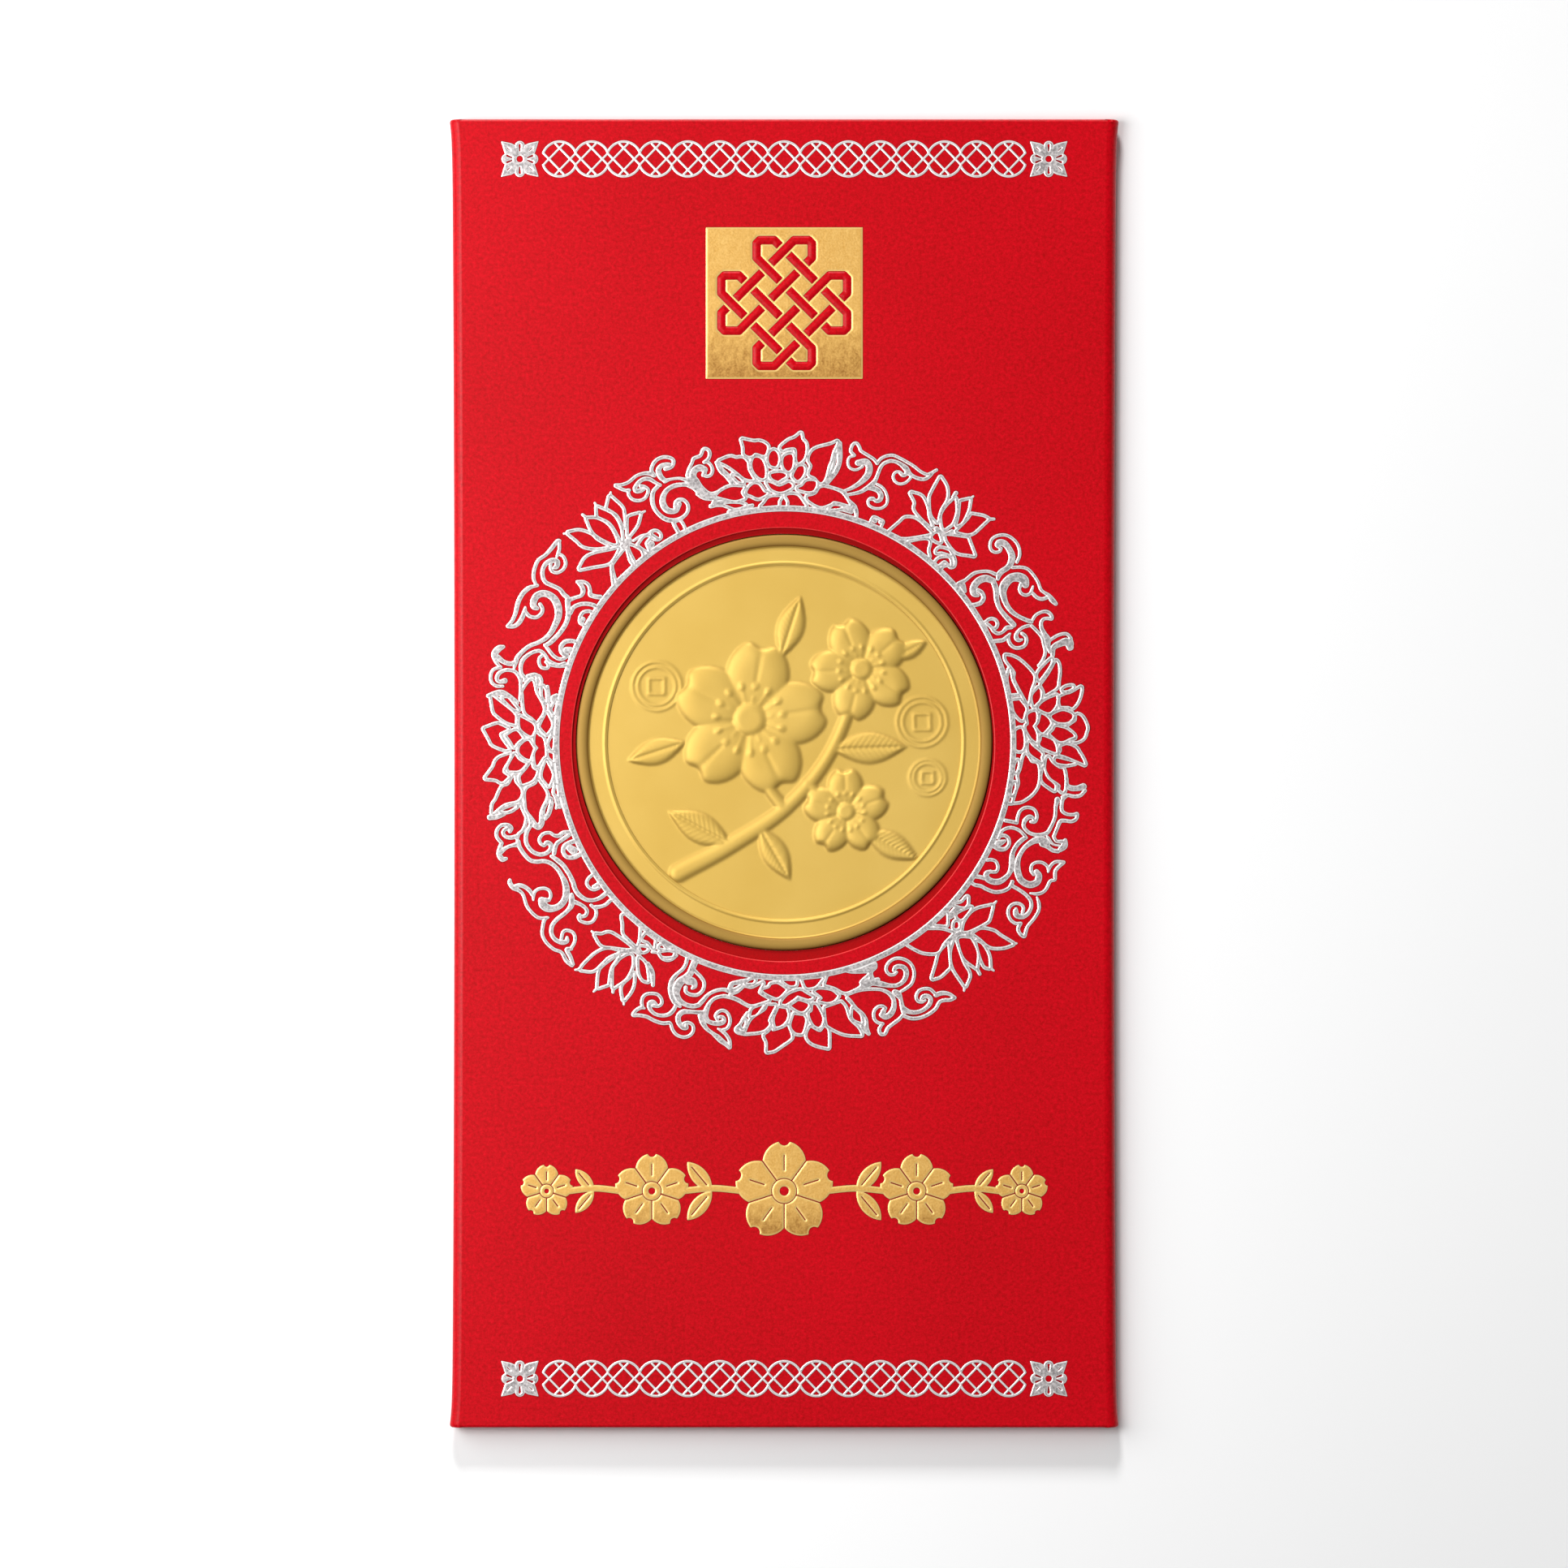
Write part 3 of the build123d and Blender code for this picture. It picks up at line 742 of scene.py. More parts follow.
class Stamp:
    """Foil on a grid of places: depth is how far each lies inside the foil's edge, and under 0 outside."""

    def __init__(self, x, y):
        self.x = x
        self.y = y
        self.depth = np.full(x.shape, no_foil)

    def near(self, path, margin):
        """Places of the grid that lie in the box round a path."""
        low = path[:, :2].min(0) - margin
        high = path[:, :2].max(0) + margin
        return (self.x > low[0]) & (self.x < high[0]) & (self.y > low[1]) & (self.y < high[1])

    def add(self, depth, where=...):
        """Lay foil where DEPTH is over 0."""
        self.depth[where] = np.maximum(self.depth[where], depth)

    def cut(self, depth, where=...):
        """Take foil away where DEPTH is over 0."""
        self.depth[where] = np.minimum(self.depth[where], -depth)

    def line(self, path, change):
        """Lay or cut, as CHANGE says, a line along a path of x, y and half width."""
        where = self.near(path, path[:, 2].max() + stamp_margin)
        change(-gap_to_path(self.x[where], self.y[where], path), where)


def flat_grid(left, right, low, high):
    """Even grid of places over a rectangle of the front."""
    return np.meshgrid(np.arange(left, right, foil_grid), np.arange(low, high, foil_grid), indexing="ij")


def grid_over(low, high):
    """Even grid of places over a box of the front, with a margin of two cells."""
    low, high = low - stamp_margin, high + stamp_margin
    return flat_grid(low[0], high[0], low[1], high[1])


def stamped(name, stamp, node, slot, material, rise=foil_rise, shoulder=foil_shoulder, shares=1):
    """Foil of a stamp: the cells of its grid that have a corner inside the edge, as a surface over the card.

    Corners outside are drawn onto the edge, up the slope of depth; that edge lies a thin rim outside the
    foil, which the foils draw as painted shadow. Height is a quarter round over the shoulder. The faces are
    shared out between pieces, and UP goes from 0 at the lower end to 1 at the upper; the gold foil uses it
    for painted shade.
    """
    depth = stamp.depth + shadow_rim_width
    x_down, x_along = np.gradient(stamp.x)
    y_down, y_along = np.gradient(stamp.y)
    depth_down, depth_along = np.gradient(depth)
    turn = x_down * y_along - x_along * y_down
    slope_x = (depth_down * y_along - depth_along * y_down) / turn
    slope_y = (depth_along * x_down - depth_down * x_along) / turn
    steep = np.maximum(slope_x**2 + slope_y**2, least_steep)
    pull = np.clip(-depth, 0, edge_pull) / steep
    inside = np.maximum(depth, 0)
    z = front_top + foil_base + (rise - foil_base) * dome((inside - shadow_rim_width) / shoulder)
    points = np.stack([stamp.x + pull * slope_x, stamp.y + pull * slope_y, z], -1).reshape(-1, 3)
    faces = grid_faces(*stamp.x.shape)
    faces = faces[(depth.ravel()[faces] > 0).any(1)]
    if turn.mean() < 0:
        faces = faces[:, ::-1]
    up = np.interp(points[:, 1], (stamp.y.min(), stamp.y.max()), (0, 1))
    for share, part in enumerate(np.array_split(faces, shares)):
        piece = mesh_piece(f"{name}_{share + 1}", points, part, "envelope", slot, material,
                           depth=inside.ravel(), up=up)
        if node:
            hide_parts(node)


def silver_foil(start):
    grain = noise(start, 3.6, 3.0)
    patch = noise(start, 0.9, 2.0)
    depth = attribute(start, "depth")
    # Painted highlight: the foil is near white along its edges and grey in its middle.
    middle = spread(start, depth, 0.12, 0.22)
    tone = spread(start, 0.75 * grain + 0.25 * patch, 0.38, 0.62)
    grey = between(start, tone, srgb(142, 136, 136), srgb(206, 200, 199))
    foil = between(start, middle, srgb(248, 244, 242), grey)
    # The thin rim outside the foil's edge is drawn in dark red, a painted shadow.
    return {
        "Base Color": between(start, spread(start, depth, 0.045, 0.075), painted_edge_shadow, foil),
        "Roughness": 0.3 + 0.25 * grain * middle,
        "Normal": bumps(start, grain * middle, 0.012),
    }


silver = finish("silver_foil", silver_foil, Metallic=0.45)
chain_rings = 15
chain_margin = (0.3, 0.2)
chain_low, chain_high = box_mm("top_border")
ring_radius = (chain_high - chain_low)[1] / 2
chain_pitch = ((chain_high - chain_low)[0] - 2 * ring_radius) / (chain_rings - 1)
ring_line = 0.138
lattice_line = 0.113
diamond_width = 1.36
diamond_height = 1.4
lattice_end = -0.62
arc_end = 0.1
chain_tail = 2.23


def chain(node):
    """Chain of rings: one ring and its lattice, folded back on itself at the pitch.

    The ring is the places within RING_LINE of its middle circle, as far as it crosses the next.
    The lattice is two straight lines through the corners of the diamond, mirrored both ways.
    """
    low, high = box_mm(node)
    centre = (low + high) / 2
    wide, tall = chain_margin
    stamp = Stamp(*flat_grid(low[0] - wide, high[0] + wide, low[1] - tall, high[1] + tall))
    across = stamp.x - centre[0]
    ring = np.clip(np.round(across / chain_pitch + (chain_rings - 1) / 2), 0, chain_rings - 1)
    u = np.abs(across - (ring - (chain_rings - 1) / 2) * chain_pitch)
    v = np.abs(stamp.y - centre[1])
    crossing = np.arccos(chain_pitch / 2 / (ring_radius - ring_line))
    arc = ring_line - np.abs(np.hypot(u, v) - ring_radius + ring_line)
    stamp.add(np.minimum(arc, v * np.cos(crossing) - u * np.sin(crossing) + arc_end))
    slope = diamond_height / diamond_width
    lean = np.hypot(1, slope)
    for side in (1, -1):
        gap = np.abs(v - np.abs(diamond_height - side * u * slope)) / lean
        stamp.add(np.minimum(lattice_line - gap, side * u - lattice_end))
    stamp.cut(np.maximum(np.hypot(u, v) - ring_radius, u - chain_tail))
    stamped(node + "_chain", stamp, node, "silver_foil", silver)


rosette_leaf = ((0, 0), (0.6, 1.75), (1.1, 2.0), (2.4, 2.28), (2.02, 1.08), (1.8, 0.45))
rosette_petals = ((0, 0.4, 0, 1.68, 0.62), (0.4, 0, 1.66, 0, 0.68))
rosette_slits = (
    (0, 1.05, 0.1, 0, 1.76, 0.18),
    (1.0, 0.17, 0.1, 1.62, 0.42, 0.15),
    (1.2, 1.05, 0.05, 1.6, 1.42, 0.08),
)
rosette_eye = 0.44
rosette_margin = 0.3


def depth_in(x, y, outline):
    """How far each place lies inside a closed outline, and under 0 outside: the distance from its line.

    A place is inside where a line from it to one side crosses the outline an odd number of times.
    """
    start = outline
    end = np.roll(outline, -1, 0)
    level = y[..., None]
    crosses = (start[:, 1] > level) != (end[:, 1] > level)
    rise = np.where(end[:, 1] == start[:, 1], 1.0, end[:, 1] - start[:, 1])
    at = start[:, 0] + (level - start[:, 1]) * (end[:, 0] - start[:, 0]) / rise
    inside = (crosses & (x[..., None] < at)).sum(-1) % 2 == 1
    gap = gap_to_path(x, y, np.vstack([outline, outline[:1]]))
    return np.where(inside, gap, -gap)


def rosettes():
    """Four rosettes, each drawn in a quarter of its square and mirrored: leaf, two petals, slits and eye."""
    low, high = box_mm("corner_rosettes")
    borders = [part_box(node) for node in ("top_border", "bottom_border")]
    top, bottom = ((below[1] + above[1]) / 2 / mm for below, above in borders)
    half = high[1] - top
    corners = [(x, y) for y in (top, bottom) for x in (low[0] + half, high[0] - half)]
    for number, (x, y) in enumerate(corners):
        reach = half + rosette_margin
        stamp = Stamp(*flat_grid(x - reach, x + reach, y - reach, y + reach))
        u = np.abs(stamp.x - x)
        v = np.abs(stamp.y - y)
        stamp.add(depth_in(u, v, np.array(rosette_leaf)))
        for x_foot, y_foot, x_tip, y_tip, width in rosette_petals:
            stamp.add(width - gap_to_path(u, v, np.array([[x_foot, y_foot], [x_tip, y_tip]])))
        for slit in rosette_slits:
            stamp.cut(-gap_to_path(u, v, np.array(slit).reshape(2, 3)))
        stamp.cut(rosette_eye - np.hypot(u, v))
        stamped(f"rosette_{number}", stamp, "corner_rosettes", "silver_foil", silver)


chain("top_border")
chain("bottom_border")
rosettes()


# Lotus wreath: silver foil round the window, the feature of the front.
# Four large and four small lotuses, drawn in line round their red petals, and scroll sprays between them
# stand on an oval base ring. It is stamped in one stroke with the borders.
wreath_centre = medallion_centre + np.array([0.08, -0.09])
ring_edge = medallion_radius + 3.05
ring_width = 0.72
ring_margin = 0.12
wreath_oval = 1.027
wreath_reach = 10.2
petal_line = 0.42
band_spread = -0.08
band_steps = 6
sectors = 8

# A drawing is text: a comma ends a point and a semicolon a curve. A point is degrees clockwise from the
# flower's axis and millimetres out from the base ring. In a flower each curve is the edge of a red petal,
# and ^ marks its corners. In strokes and sprays each curve is a band, and a third number is its half width,
# which holds until the next.
large_lotus_top = """
-8.2 8.6 ^, -6.2 8.15, -5 8.1, -4 7.8, -3.5 7.4, -3.7 6.8, -4.3 6.4, -5.9 6.75, -6.7 6.5, -7.4 6.5,
 -8.1 6.85, -8 7.6;
-13.4 6.5 ^, -11.2 6.7, -10 6.4, -8.7 6.3, -7.9 5.7, -7.9 4.8, -7 3.5 ^, -8 3.6, -9 3.9, -10.2 4.7,
 -11.8 5.7;
-11.3 4.4 ^, -10.4 4.1, -9.4 3.35 ^, -10.3 3.6;
-6 6.2, -4.9 5.9, -4.3 5, -4.3 3.9, -4.8 3.5, -5.7 3.7, -6.6 4.4, -6.9 5.2, -6.6 5.9;
-2.3 6.9, -1.5 6.5, -1.3 5.8, -1.6 5.1, -2.1 4.9, -3 5.1, -3.4 5.7, -3.1 6.5;
3 9 ^, 3.3 8.3, 4 7.8, 4.2 7, 3.9 6, 2.9 5.4, 2.5 5.8, 2.4 6.8, 1.9 7.25, .3 7.15, -.4 6.95, -.7 7.3,
 .8 8.1, 1.9 8.4;
1 6.4, 1.6 6.2, 1.7 5.3, 1.4 4.6, .7 4.3, -.1 4.7, -.4 5.4, -.1 6.1;
2.9 4.9, 3.9 4.95, 4.2 4.4, 3.8 3.7, 2.9 3.2, 2.1 3.5, 1.9 3.8, 2.3 4.4;
10.1 8.5 ^, 8.9 8, 6.3 7.3, 5.3 6.6, 5.1 5.8, 5.8 5.1, 5.4 4.1, 6.7 3.75, 8 3.2, 8.8 3.8, 9.1 5.4,
 9.4 6.1, 9.5 7.1;
10.5 7 ^, 10.7 6.3, 10.7 5.6, 10.2 4.6 ^, 10.5 5.5;
-2.9 4, -.8 4.1, .3 3.75, -.8 3.3, -1.5 3.05 ^, -2.4 3.25, -3 3.6;
-4 3 ^, -3 2.8, -1.4 2.4, -.1 2.6, .9 2.85, 1.7 2.4, .3 1.9, -.9 1.7, -2 1.8, -3.2 2.2;
3 2.2, 4 2.5, 4.8 3.1, 5.8 3.25, 6.9 3.2, 7.1 2.7, 6.6 2.1, 5.5 1.9, 4 2;
-7 2.9, -5.9 2.7, -4.9 1.8, -4.2 1.6, -6.3 1.15, -7.9 1.6, -8.8 1.9, -8.2 2.5;
-15.9 2.4 ^, -14.5 2.8, -12.2 3.05, -9.4 2.7 ^, -10.2 2.1, -9.7 1.4 ^, -11.8 1.3, -14 1.8;
-14.7 1.2 ^, -12.8 1, -11 .75, -9.8 .45 ^, -11 .35, -12.4 .4, -13.6 .8;
-5.8 0 ^, -4.9 .4, -3.9 .95, -2.5 1.1, -1 1.05 ^, -1.6 .6, -1.7 .05 ^;
.3 1.2 ^, 1.3 1.35, 2.7 1.3, 3.7 .9, 5.1 0 ^, 1.05 0 ^, 1.1 .4, .8 .8;
5.4 1.2, 6.6 1.45, 7.5 1.8, 8 2.4, 8.9 2.65, 10.5 2.6, 12 2.5, 13.5 2.2, 15.6 1.2 ^, 12 1.2, 11 .8,
 8.8 .25, 6.2 .7;
11.2 .15 ^, 11.8 .55, 12.6 .7, 14 .72 ^, 13 .4
"""
large_lotus_right = """
-2.3 8, -1.7 8.6, 0 9.05, 1 8.9, 2 8.6, 2.6 7.9, 2.7 7.2 ^, 2.3 7.75, 1.6 7.85, .8 7.5, -.2 6.75 ^,
 -.7 7.3, -1.3 7.85;
-7.3 8.9 ^, -6.3 8.7, -4.9 8.2, -3.9 7.5, -4.2 7, -4.4 6.05 ^, -5.2 6, -6.2 6.15 ^, -6.5 6.9, -6.6 7.6;
-7.8 7.9, -7.4 7.5, -7.35 6.8, -7.6 6.65, -7.9 7.2;
-13.3 6.6 ^, -12.6 6.7, -11 6.5, -9.5 6.15, -8.3 5.8, -7.3 4.3 ^, -8.2 4.25, -9.4 4.05 ^, -10.2 4.6,
 -11.5 5.5;
-14 6.1 ^, -13 5.7, -11.5 4.6, -10.6 3.9 ^, -11.5 3.85, -12.3 4.2, -13.3 5.2;
-6.6 5.65 ^, -5.6 5.6, -4.5 5.3, -3.4 4.4, -4.4 3.3, -4.9 3.2 ^, -5.6 3.7, -6.2 4.5;
-2.4 7.4, -1.6 7.2, -1.1 6.6, -1.2 5.6, -1.8 4.95, -2.7 4.75, -3.4 6, -3.1 6.8;
1.6 7.45, 2.1 6.8, 2.6 6.1, 2.5 5.4, 1.1 4.4 ^, .3 4.9, -.3 5.15, -.1 5.8, .4 6.6;
6.9 8.85 ^, 6 8.55, 4.9 8.05, 4 7.6, 3.4 6.6, 3.75 5.8 ^, 4.6 5.85, 5.3 5.6 ^, 5.6 6.4, 6.4 7.9;
6.8 7.6 ^, 7.2 6.5, 7 5.3, 6.2 5.15, 6.2 5.6, 6.5 6.6;
8.1 5.6, 8.4 6.2, 10.5 6.55, 12.5 6.6, 12.3 6.1, 11.4 6, 10.4 4.8, 9.5 4.3, 8.2 3.95, 6.1 4.1, 7.2 4.7;
12.6 5.4 ^, 11.6 5.3, 10.3 4.2, 8.4 3.65 ^, 11 3.7, 12.2 4.8;
4.9 5, 4.2 5.15, 3 4.9, 2.3 4.5, 1.6 3.4, 2.3 3.25, 3.3 3.05, 4 3.5;
-3.3 3.4 ^, -2.7 3.95, -1.7 4.4, -.8 4.4, .6 3.6, .6 3.2, -.7 2.65 ^, -1.5 3.05;
-8.9 3.6 ^, -8.2 3.75, -6.5 3.5, -5.3 2.6 ^, -7.5 2.65;
-3.9 2.7, -2 2.7, -.8 2.2 ^, .8 2.6, 2.6 2.6, 2.4 2.3, 1.7 1.9, 0 1.4, -.9 1.4, -1.4 1.7, -3.4 1.7;
7 3.35 ^, 6.1 3.2, 5.3 3.25, 3.7 2.1, 2.9 1.7, 3.8 1.6, 5 1.7, 5.9 2.2;
-18 .7 ^, -17.2 1.4, -15.6 2.2, -12.5 3.15, -10.9 3.2, -8.9 2.5, -6.1 1.9 ^, -8.5 1.45, -12 .95,
 -13.8 1.2, -16.8 .65;
-14.6 .6 ^, -12 .45, -8.8 .85 ^, -9 0 ^, -12.6 .1;
-7.1 .9 ^, -5 1.5, -4 1.3, -2.5 .9, -4 .2, -5.5 0, -7.2 0 ^;
-.3 .75, 2 1, 3.8 .95, 4.7 .65, 4.4 0, 2 0, .2 0;
5.8 1.2, 7.4 2, 7.9 2.85, 11.5 3.15, 14 2.7, 16.2 1.6, 17 .65 ^, 14.5 .75, 12.5 .9, 10.7 .65, 9.2 .85;
7.3 .25, 8.5 .35, 10 .15, 8.8 0;
12.7 .25, 14 .35, 15.5 .15, 13.7 .05
"""
large_lotus_bottom = """
-5.3 8.75 ^, -3.8 8.4, -2.4 7.95, -1.6 7.35, -1.6 6.7, -2.3 6 ^, -4.1 6.7, -5.2 6.15 ^, -5.7 6.8;
6.3 8.9 ^, 5.1 8.7, 3.9 8.15, 2 7.3, 1.8 6.8, 2.5 5.65 ^, 3.55 6, 5.45 6.35, 5.7 6.07 ^, 6.3 6.57, 7 7,
 6.4 7.8;
-12 8.05 ^, -8.9 7.4, -6.2 6.2, -5.8 5.57, -5.9 3.86 ^, -9.5 3.57 ^, -10.1 4.3, -10.4 5.86, -11.65 7.14;
-12.7 6.6 ^, -11.3 5.8, -11.8 4.64 ^, -12.8 5.7;
-3.9 6.07, -2.9 5.57, -2.3 4.36, -3 4, -3.3 3.2 ^, -4.05 3.43, -4.95 4.86, -4.7 5.7;
.1 6.64, 1 6.43, 1.7 5.64, 1 4.29 ^, -.1 4.4, -1 4.5 ^, -1.35 5.14, -.6 6.5;
4.9 5.8 ^, 3.9 5.64, 2.9 5.14, 2.4 4.36, 2.7 3.57 ^, 4.3 3.43 ^, 5.2 4.8;
10.9 6.86 ^, 7.85 6.43, 6.5 5.8, 6.3 5.36, 6.5 4.93, 5.2 3.2 ^, 6.8 3.2 ^, 7.35 3.86, 9.9 5.14;
11.65 6.3, 11.9 6, 11.5 5.43, 11.4 5.7;
10.3 4.7 ^, 9.1 4.36, 7.85 3.2 ^, 10 3.86;
-2.3 3.2, -1.27 3.86, -.1 3.86, 1.65 3.17 ^, -.1 2.57 ^, -1.27 2.79;
-3.4 2.3 ^, -2.3 2.43, 0 1.93 ^, 1.27 2.43, 2.8 2.93, 3.7 2.8, 2.3 1.86, .25 1.4, -.9 1.36, -1.8 1.7;
-9.1 2.64 ^, -8.1 3.07, -6.6 3.17, -4.9 2.83 ^, -5.6 2.5, -4.05 1.57 ^, -5.3 1.43, -7.85 1.86;
-17.4 1 ^, -14.9 1.57, -14.6 2.07, -13.2 2.29, -10.9 2.36, -8.9 1.5, -6.8 .93 ^, -7.85 0 ^, -12.2 0 ^,
 -13.9 .43;
-6.3 .07 ^, -4.6 .86, -3.3 1.04, -2.15 .93, -1.5 0 ^;
.3 .07 ^, .4 .5, 1 .64, 2 .57, 3.5 .03 ^;
2.7 1.14 ^, 4.3 2.03, 5.6 2.07, 8.2 1.4, 6.8 1, 6.3 .57 ^, 4.8 .46;
6.8 2.47 ^, 9.9 3.2, 11.4 3.2, 13.2 2.8, 15.2 2.55 ^, 13.9 2.15, 12.6 1.3 ^, 10.8 1.3, 8.5 .5 ^, 9.3 1.6,
 8.6 2;
10.5 .2 ^, 10.9 .57, 12.4 .69 ^, 11.1 .2;
13.9 1.07 ^, 14.7 1.43, 15.3 1.64 ^, 15.2 1.29
"""
large_lotus_left = """
-4.5 8.9 ^, -2.7 7.8, -1.6 7.43, -.9 6.86, -.3 5.6 ^, -1.2 5.8, -3.5 6.7, -4.8 6.07 ^, -5.6 6.93,
 -4.9 7.7;
4.6 8.9 ^, 2.7 8.14, 1.7 7.7, .8 6.3, .8 5.8 ^, 2.7 6.7, 3.9 6.93, 4.8 5.93 ^, 5.5 7, 5.5 7.5;
-11.1 8.8 ^, -9.7 8.5, -8.8 7.93, -6.8 7, -6.4 6.14, -4.8 5.36 ^, -6.1 5.3, -8 4.7, -9.7 5.3, -9.9 7.14;
-11.1 7.7 ^, -10.8 6.3, -10.9 5.7 ^, -11.4 6.8;
10.9 8.4 ^, 8.3 7.86, 7.5 7.43, 6.3 6.14, 5.9 5 ^, 7.6 5.07 ^, 8.5 5.7, 10.1 7.43;
10.8 6.93 ^, 10.9 6.3, 10.1 5.7, 8.9 4.86 ^, 9.2 5.5;
-3.6 5.86 ^, -2.7 5.93, -.4 5 ^, -1.6 4.5, -2.5 3.64 ^, -3.7 4.57;
3.5 6 ^, 2.5 5.5, 1.3 5.07 ^, 2.1 4.7, 3.1 4 ^, 4.5 4.86;
-6.7 4.43 ^, -5.1 4.5, -3.7 3.64, -2.4 3 ^, -3.6 2.86, -4.3 2.36 ^, -5.5 2.7, -6.3 3.3;
7.5 4.46 ^, 6.1 4.43, 4.8 4.14, 3.6 3, 4.3 2.64, 5.3 2.5, 6.3 2.86;
-1.5 3.14, -1.2 3.7, -.3 4.29, .5 4.43, 1.5 4.2, 2.5 3.29, .8 2.57 ^, -.8 2.93;
-3.1 2.29, -.5 2.43, .9 1.97 ^, 1.9 2.36, 4 2.29, 3.6 1.86, 2.7 1.29, -.7 1.1, -1.3 1.43;
-15.6 3.5, -13.9 4, -12.3 4.4, -10.9 4.36, -8.1 4, -7.2 2.7, -6.4 2.36 ^, -9.3 1.64, -10.7 1.79,
 -13.1 2.86;
-14.3 2.4 ^, -13.1 2.14, -11.2 1.3 ^, -13.7 2;
8.8 3.86, 12 4.36, 13.2 4.46, 15.5 3.7, 13.1 2.93, 10.7 1.86, 9.1 1.64, 6.8 2.29 ^, 7.6 2.86;
14.9 2.71 ^, 16.5 2.97 ^, 15.9 2.71;
11.6 1.46 ^, 12.8 1.93, 14.7 2.17 ^, 13.9 1.79;
-7.9 1.07 ^, -5.5 1.7, -2.3 1.03 ^, -5.1 .46, -6.4 .57;
4.2 .93 ^, 5.6 1.7, 6.4 1.64, 8.9 1.1 ^, 6.9 .43, 5.6 .43;
-10.7 .2 ^, -9.9 .47, -8.3 .14 ^;
-2.3 .14 ^, -1.3 .6, -.2 .69 ^, -.6 .1 ^;
.7 .14, .8 .4, 1.9 .54, 3.4 .1;
9.1 .2 ^, 10.1 .46, 12.1 .07 ^
"""
small_lotus_1 = """
-5.9 9 ^, -4.1 8.36, -2.9 7.2, -2.7 5.64, -1.8 4.2 ^, -3.7 4.64, -5.5 6.14, -5.8 7;
-1.4 7.83 ^, .1 6.64, .87 5.3, .67 4.57, .2 4.04, -1.3 4.86, -1.8 5.5, -1.8 6.57;
.93 8.83 ^, 1.87 7.64, 2.4 6.14, 2.07 5.4 ^, 1.3 6.5, -.13 8 ^;
5.87 8.5 ^, 4.9 8.29, 3.1 7.57 ^, 3.2 6.7, 2.9 4.79 ^, 4.8 5.43, 5.5 6.07, 5.67 6.86;
8.9 4.07 ^, 5.5 5 ^, 3.1 4.07, 1.6 3.5 ^, 2.8 3.07, 5.7 2.86, 8 3.7;
-9.5 5.5 ^, -7.3 5.7, -5.2 4.86, -4.1 4.07, -2.27 3.29 ^, -4.9 3.5, -7.2 4, -7.8 4.79;
-9.9 0 ^, -8.7 1.57, -8 2.43, -5.6 2.89, -1.5 2.54 ^, -3.07 1.64, -5.5 .5, -6.9 .07 ^;
-4.4 .03 ^, -2.27 1.14, -.8 1.54, .13 .57, 1.3 .03 ^;
-.64 2.29, -.53 2.86, 0 3, 1.33 2.43, .27 2.2;
2.27 1.14, 2.3 1.7, 4.1 2.2, 5.07 2.07 ^, 3.07 1.57;
3.7 .07 ^, 3.8 .7, 5.3 1.5, 6.7 1.07 ^, 4.9 1, 4.4 .03 ^
"""
small_lotus_2 = """
-4.8 8.8 ^, -3.2 8.14, -1.6 6.93, -1.3 5.3, -1.04 4.3 ^, -2.8 4.7, -4.1 6, -4.3 7;
1.4 8.7 ^, .07 7.57, -.56 6.14, -.27 5.3 ^, 1.07 6.79, 1.8 8.14;
3.3 7.57 ^, 1.3 6.36, .33 4.7, .67 4.14, 1.87 3.5, 2.67 3.86, 3.87 5.7;
7.1 8.43 ^, 5.3 7.64, 4.8 6, 3.07 3.29 ^, 5.3 4.2, 6.8 5.7, 7.07 7.7;
-8 3.79 ^, -5.7 4.4, -4.5 4.43, -.93 3.64, .27 3.14 ^, -1.7 2.5, -4.9 2.5;
7.47 5.36 ^, 10 5.55, 11.6 5.3 ^, 9.2 4.14, 7.3 3.29, 4.9 3.07 ^;
2.4 2.36 ^, 5.3 2.5, 7.6 2.93, 10 2, 11.3 1, 12.3 0 ^, 6.4 0 ^, 3.87 1.14;
.33 .07 ^, 1.87 .93, 2.4 .93, 4.07 .03 ^;
-.2 1.93, .53 2.36, 1.23 2.07, .2 1.64;
-4.7 1.86 ^, -1.47 1.93, -1.2 1.2, -2.5 1.29;
-5.97 .64 ^, -4.67 1.14, -3.7 1, -2.67 0 ^, -4.1 .57
"""
small_lotus_3 = """
-4.67 8.43 ^, -3.2 7.2, -3.67 5.7, -3.5 5.1 ^, -4.5 6.14, -4.87 7.14;
-1.7 7.9 ^, -2.67 6.14, -2.27 4.43, -.8 3.43, .27 4.43, .4 5.43, .27 6.14;
.6 9.07 ^, 2.1 7.57, 2.2 6.57, 1.27 4.5 ^, 1.07 6.3, -.4 8.07 ^;
5.2 8.8 ^, 3.47 7.86, 3.13 6.43, 2.87 5.3, 1.8 4.03 ^, 3.87 4.7, 5 6, 5.3 7.86;
-6.87 4.86 ^, -5.87 4.97, -4.4 4.43, -2.67 3.07 ^, -4.67 3.36;
7.87 4.43 ^, 5.47 4.74, 3.47 4, .47 2.86, .93 2.64, 5.6 2.97, 6.9 3.93;
-.47 1.97 ^, 2 1.86, 3.47 1.74, 4.9 .93, 6.3 .36, 6.1 .07 ^, 1.6 .03 ^, .13 1.14;
-3.3 .14 ^, -4.07 .96 ^, -2.27 .69, -.93 .83, -.8 .14 ^;
-3 1.64, -2.4 2.1, -1.57 1.86, -2.67 1.54;
-8.97 .2 ^, -8.87 .64, -7.07 1.2, -6.16 1.04 ^, -7.67 .43;
-6.47 .29 ^, -5.3 .5, -5.6 .14
"""
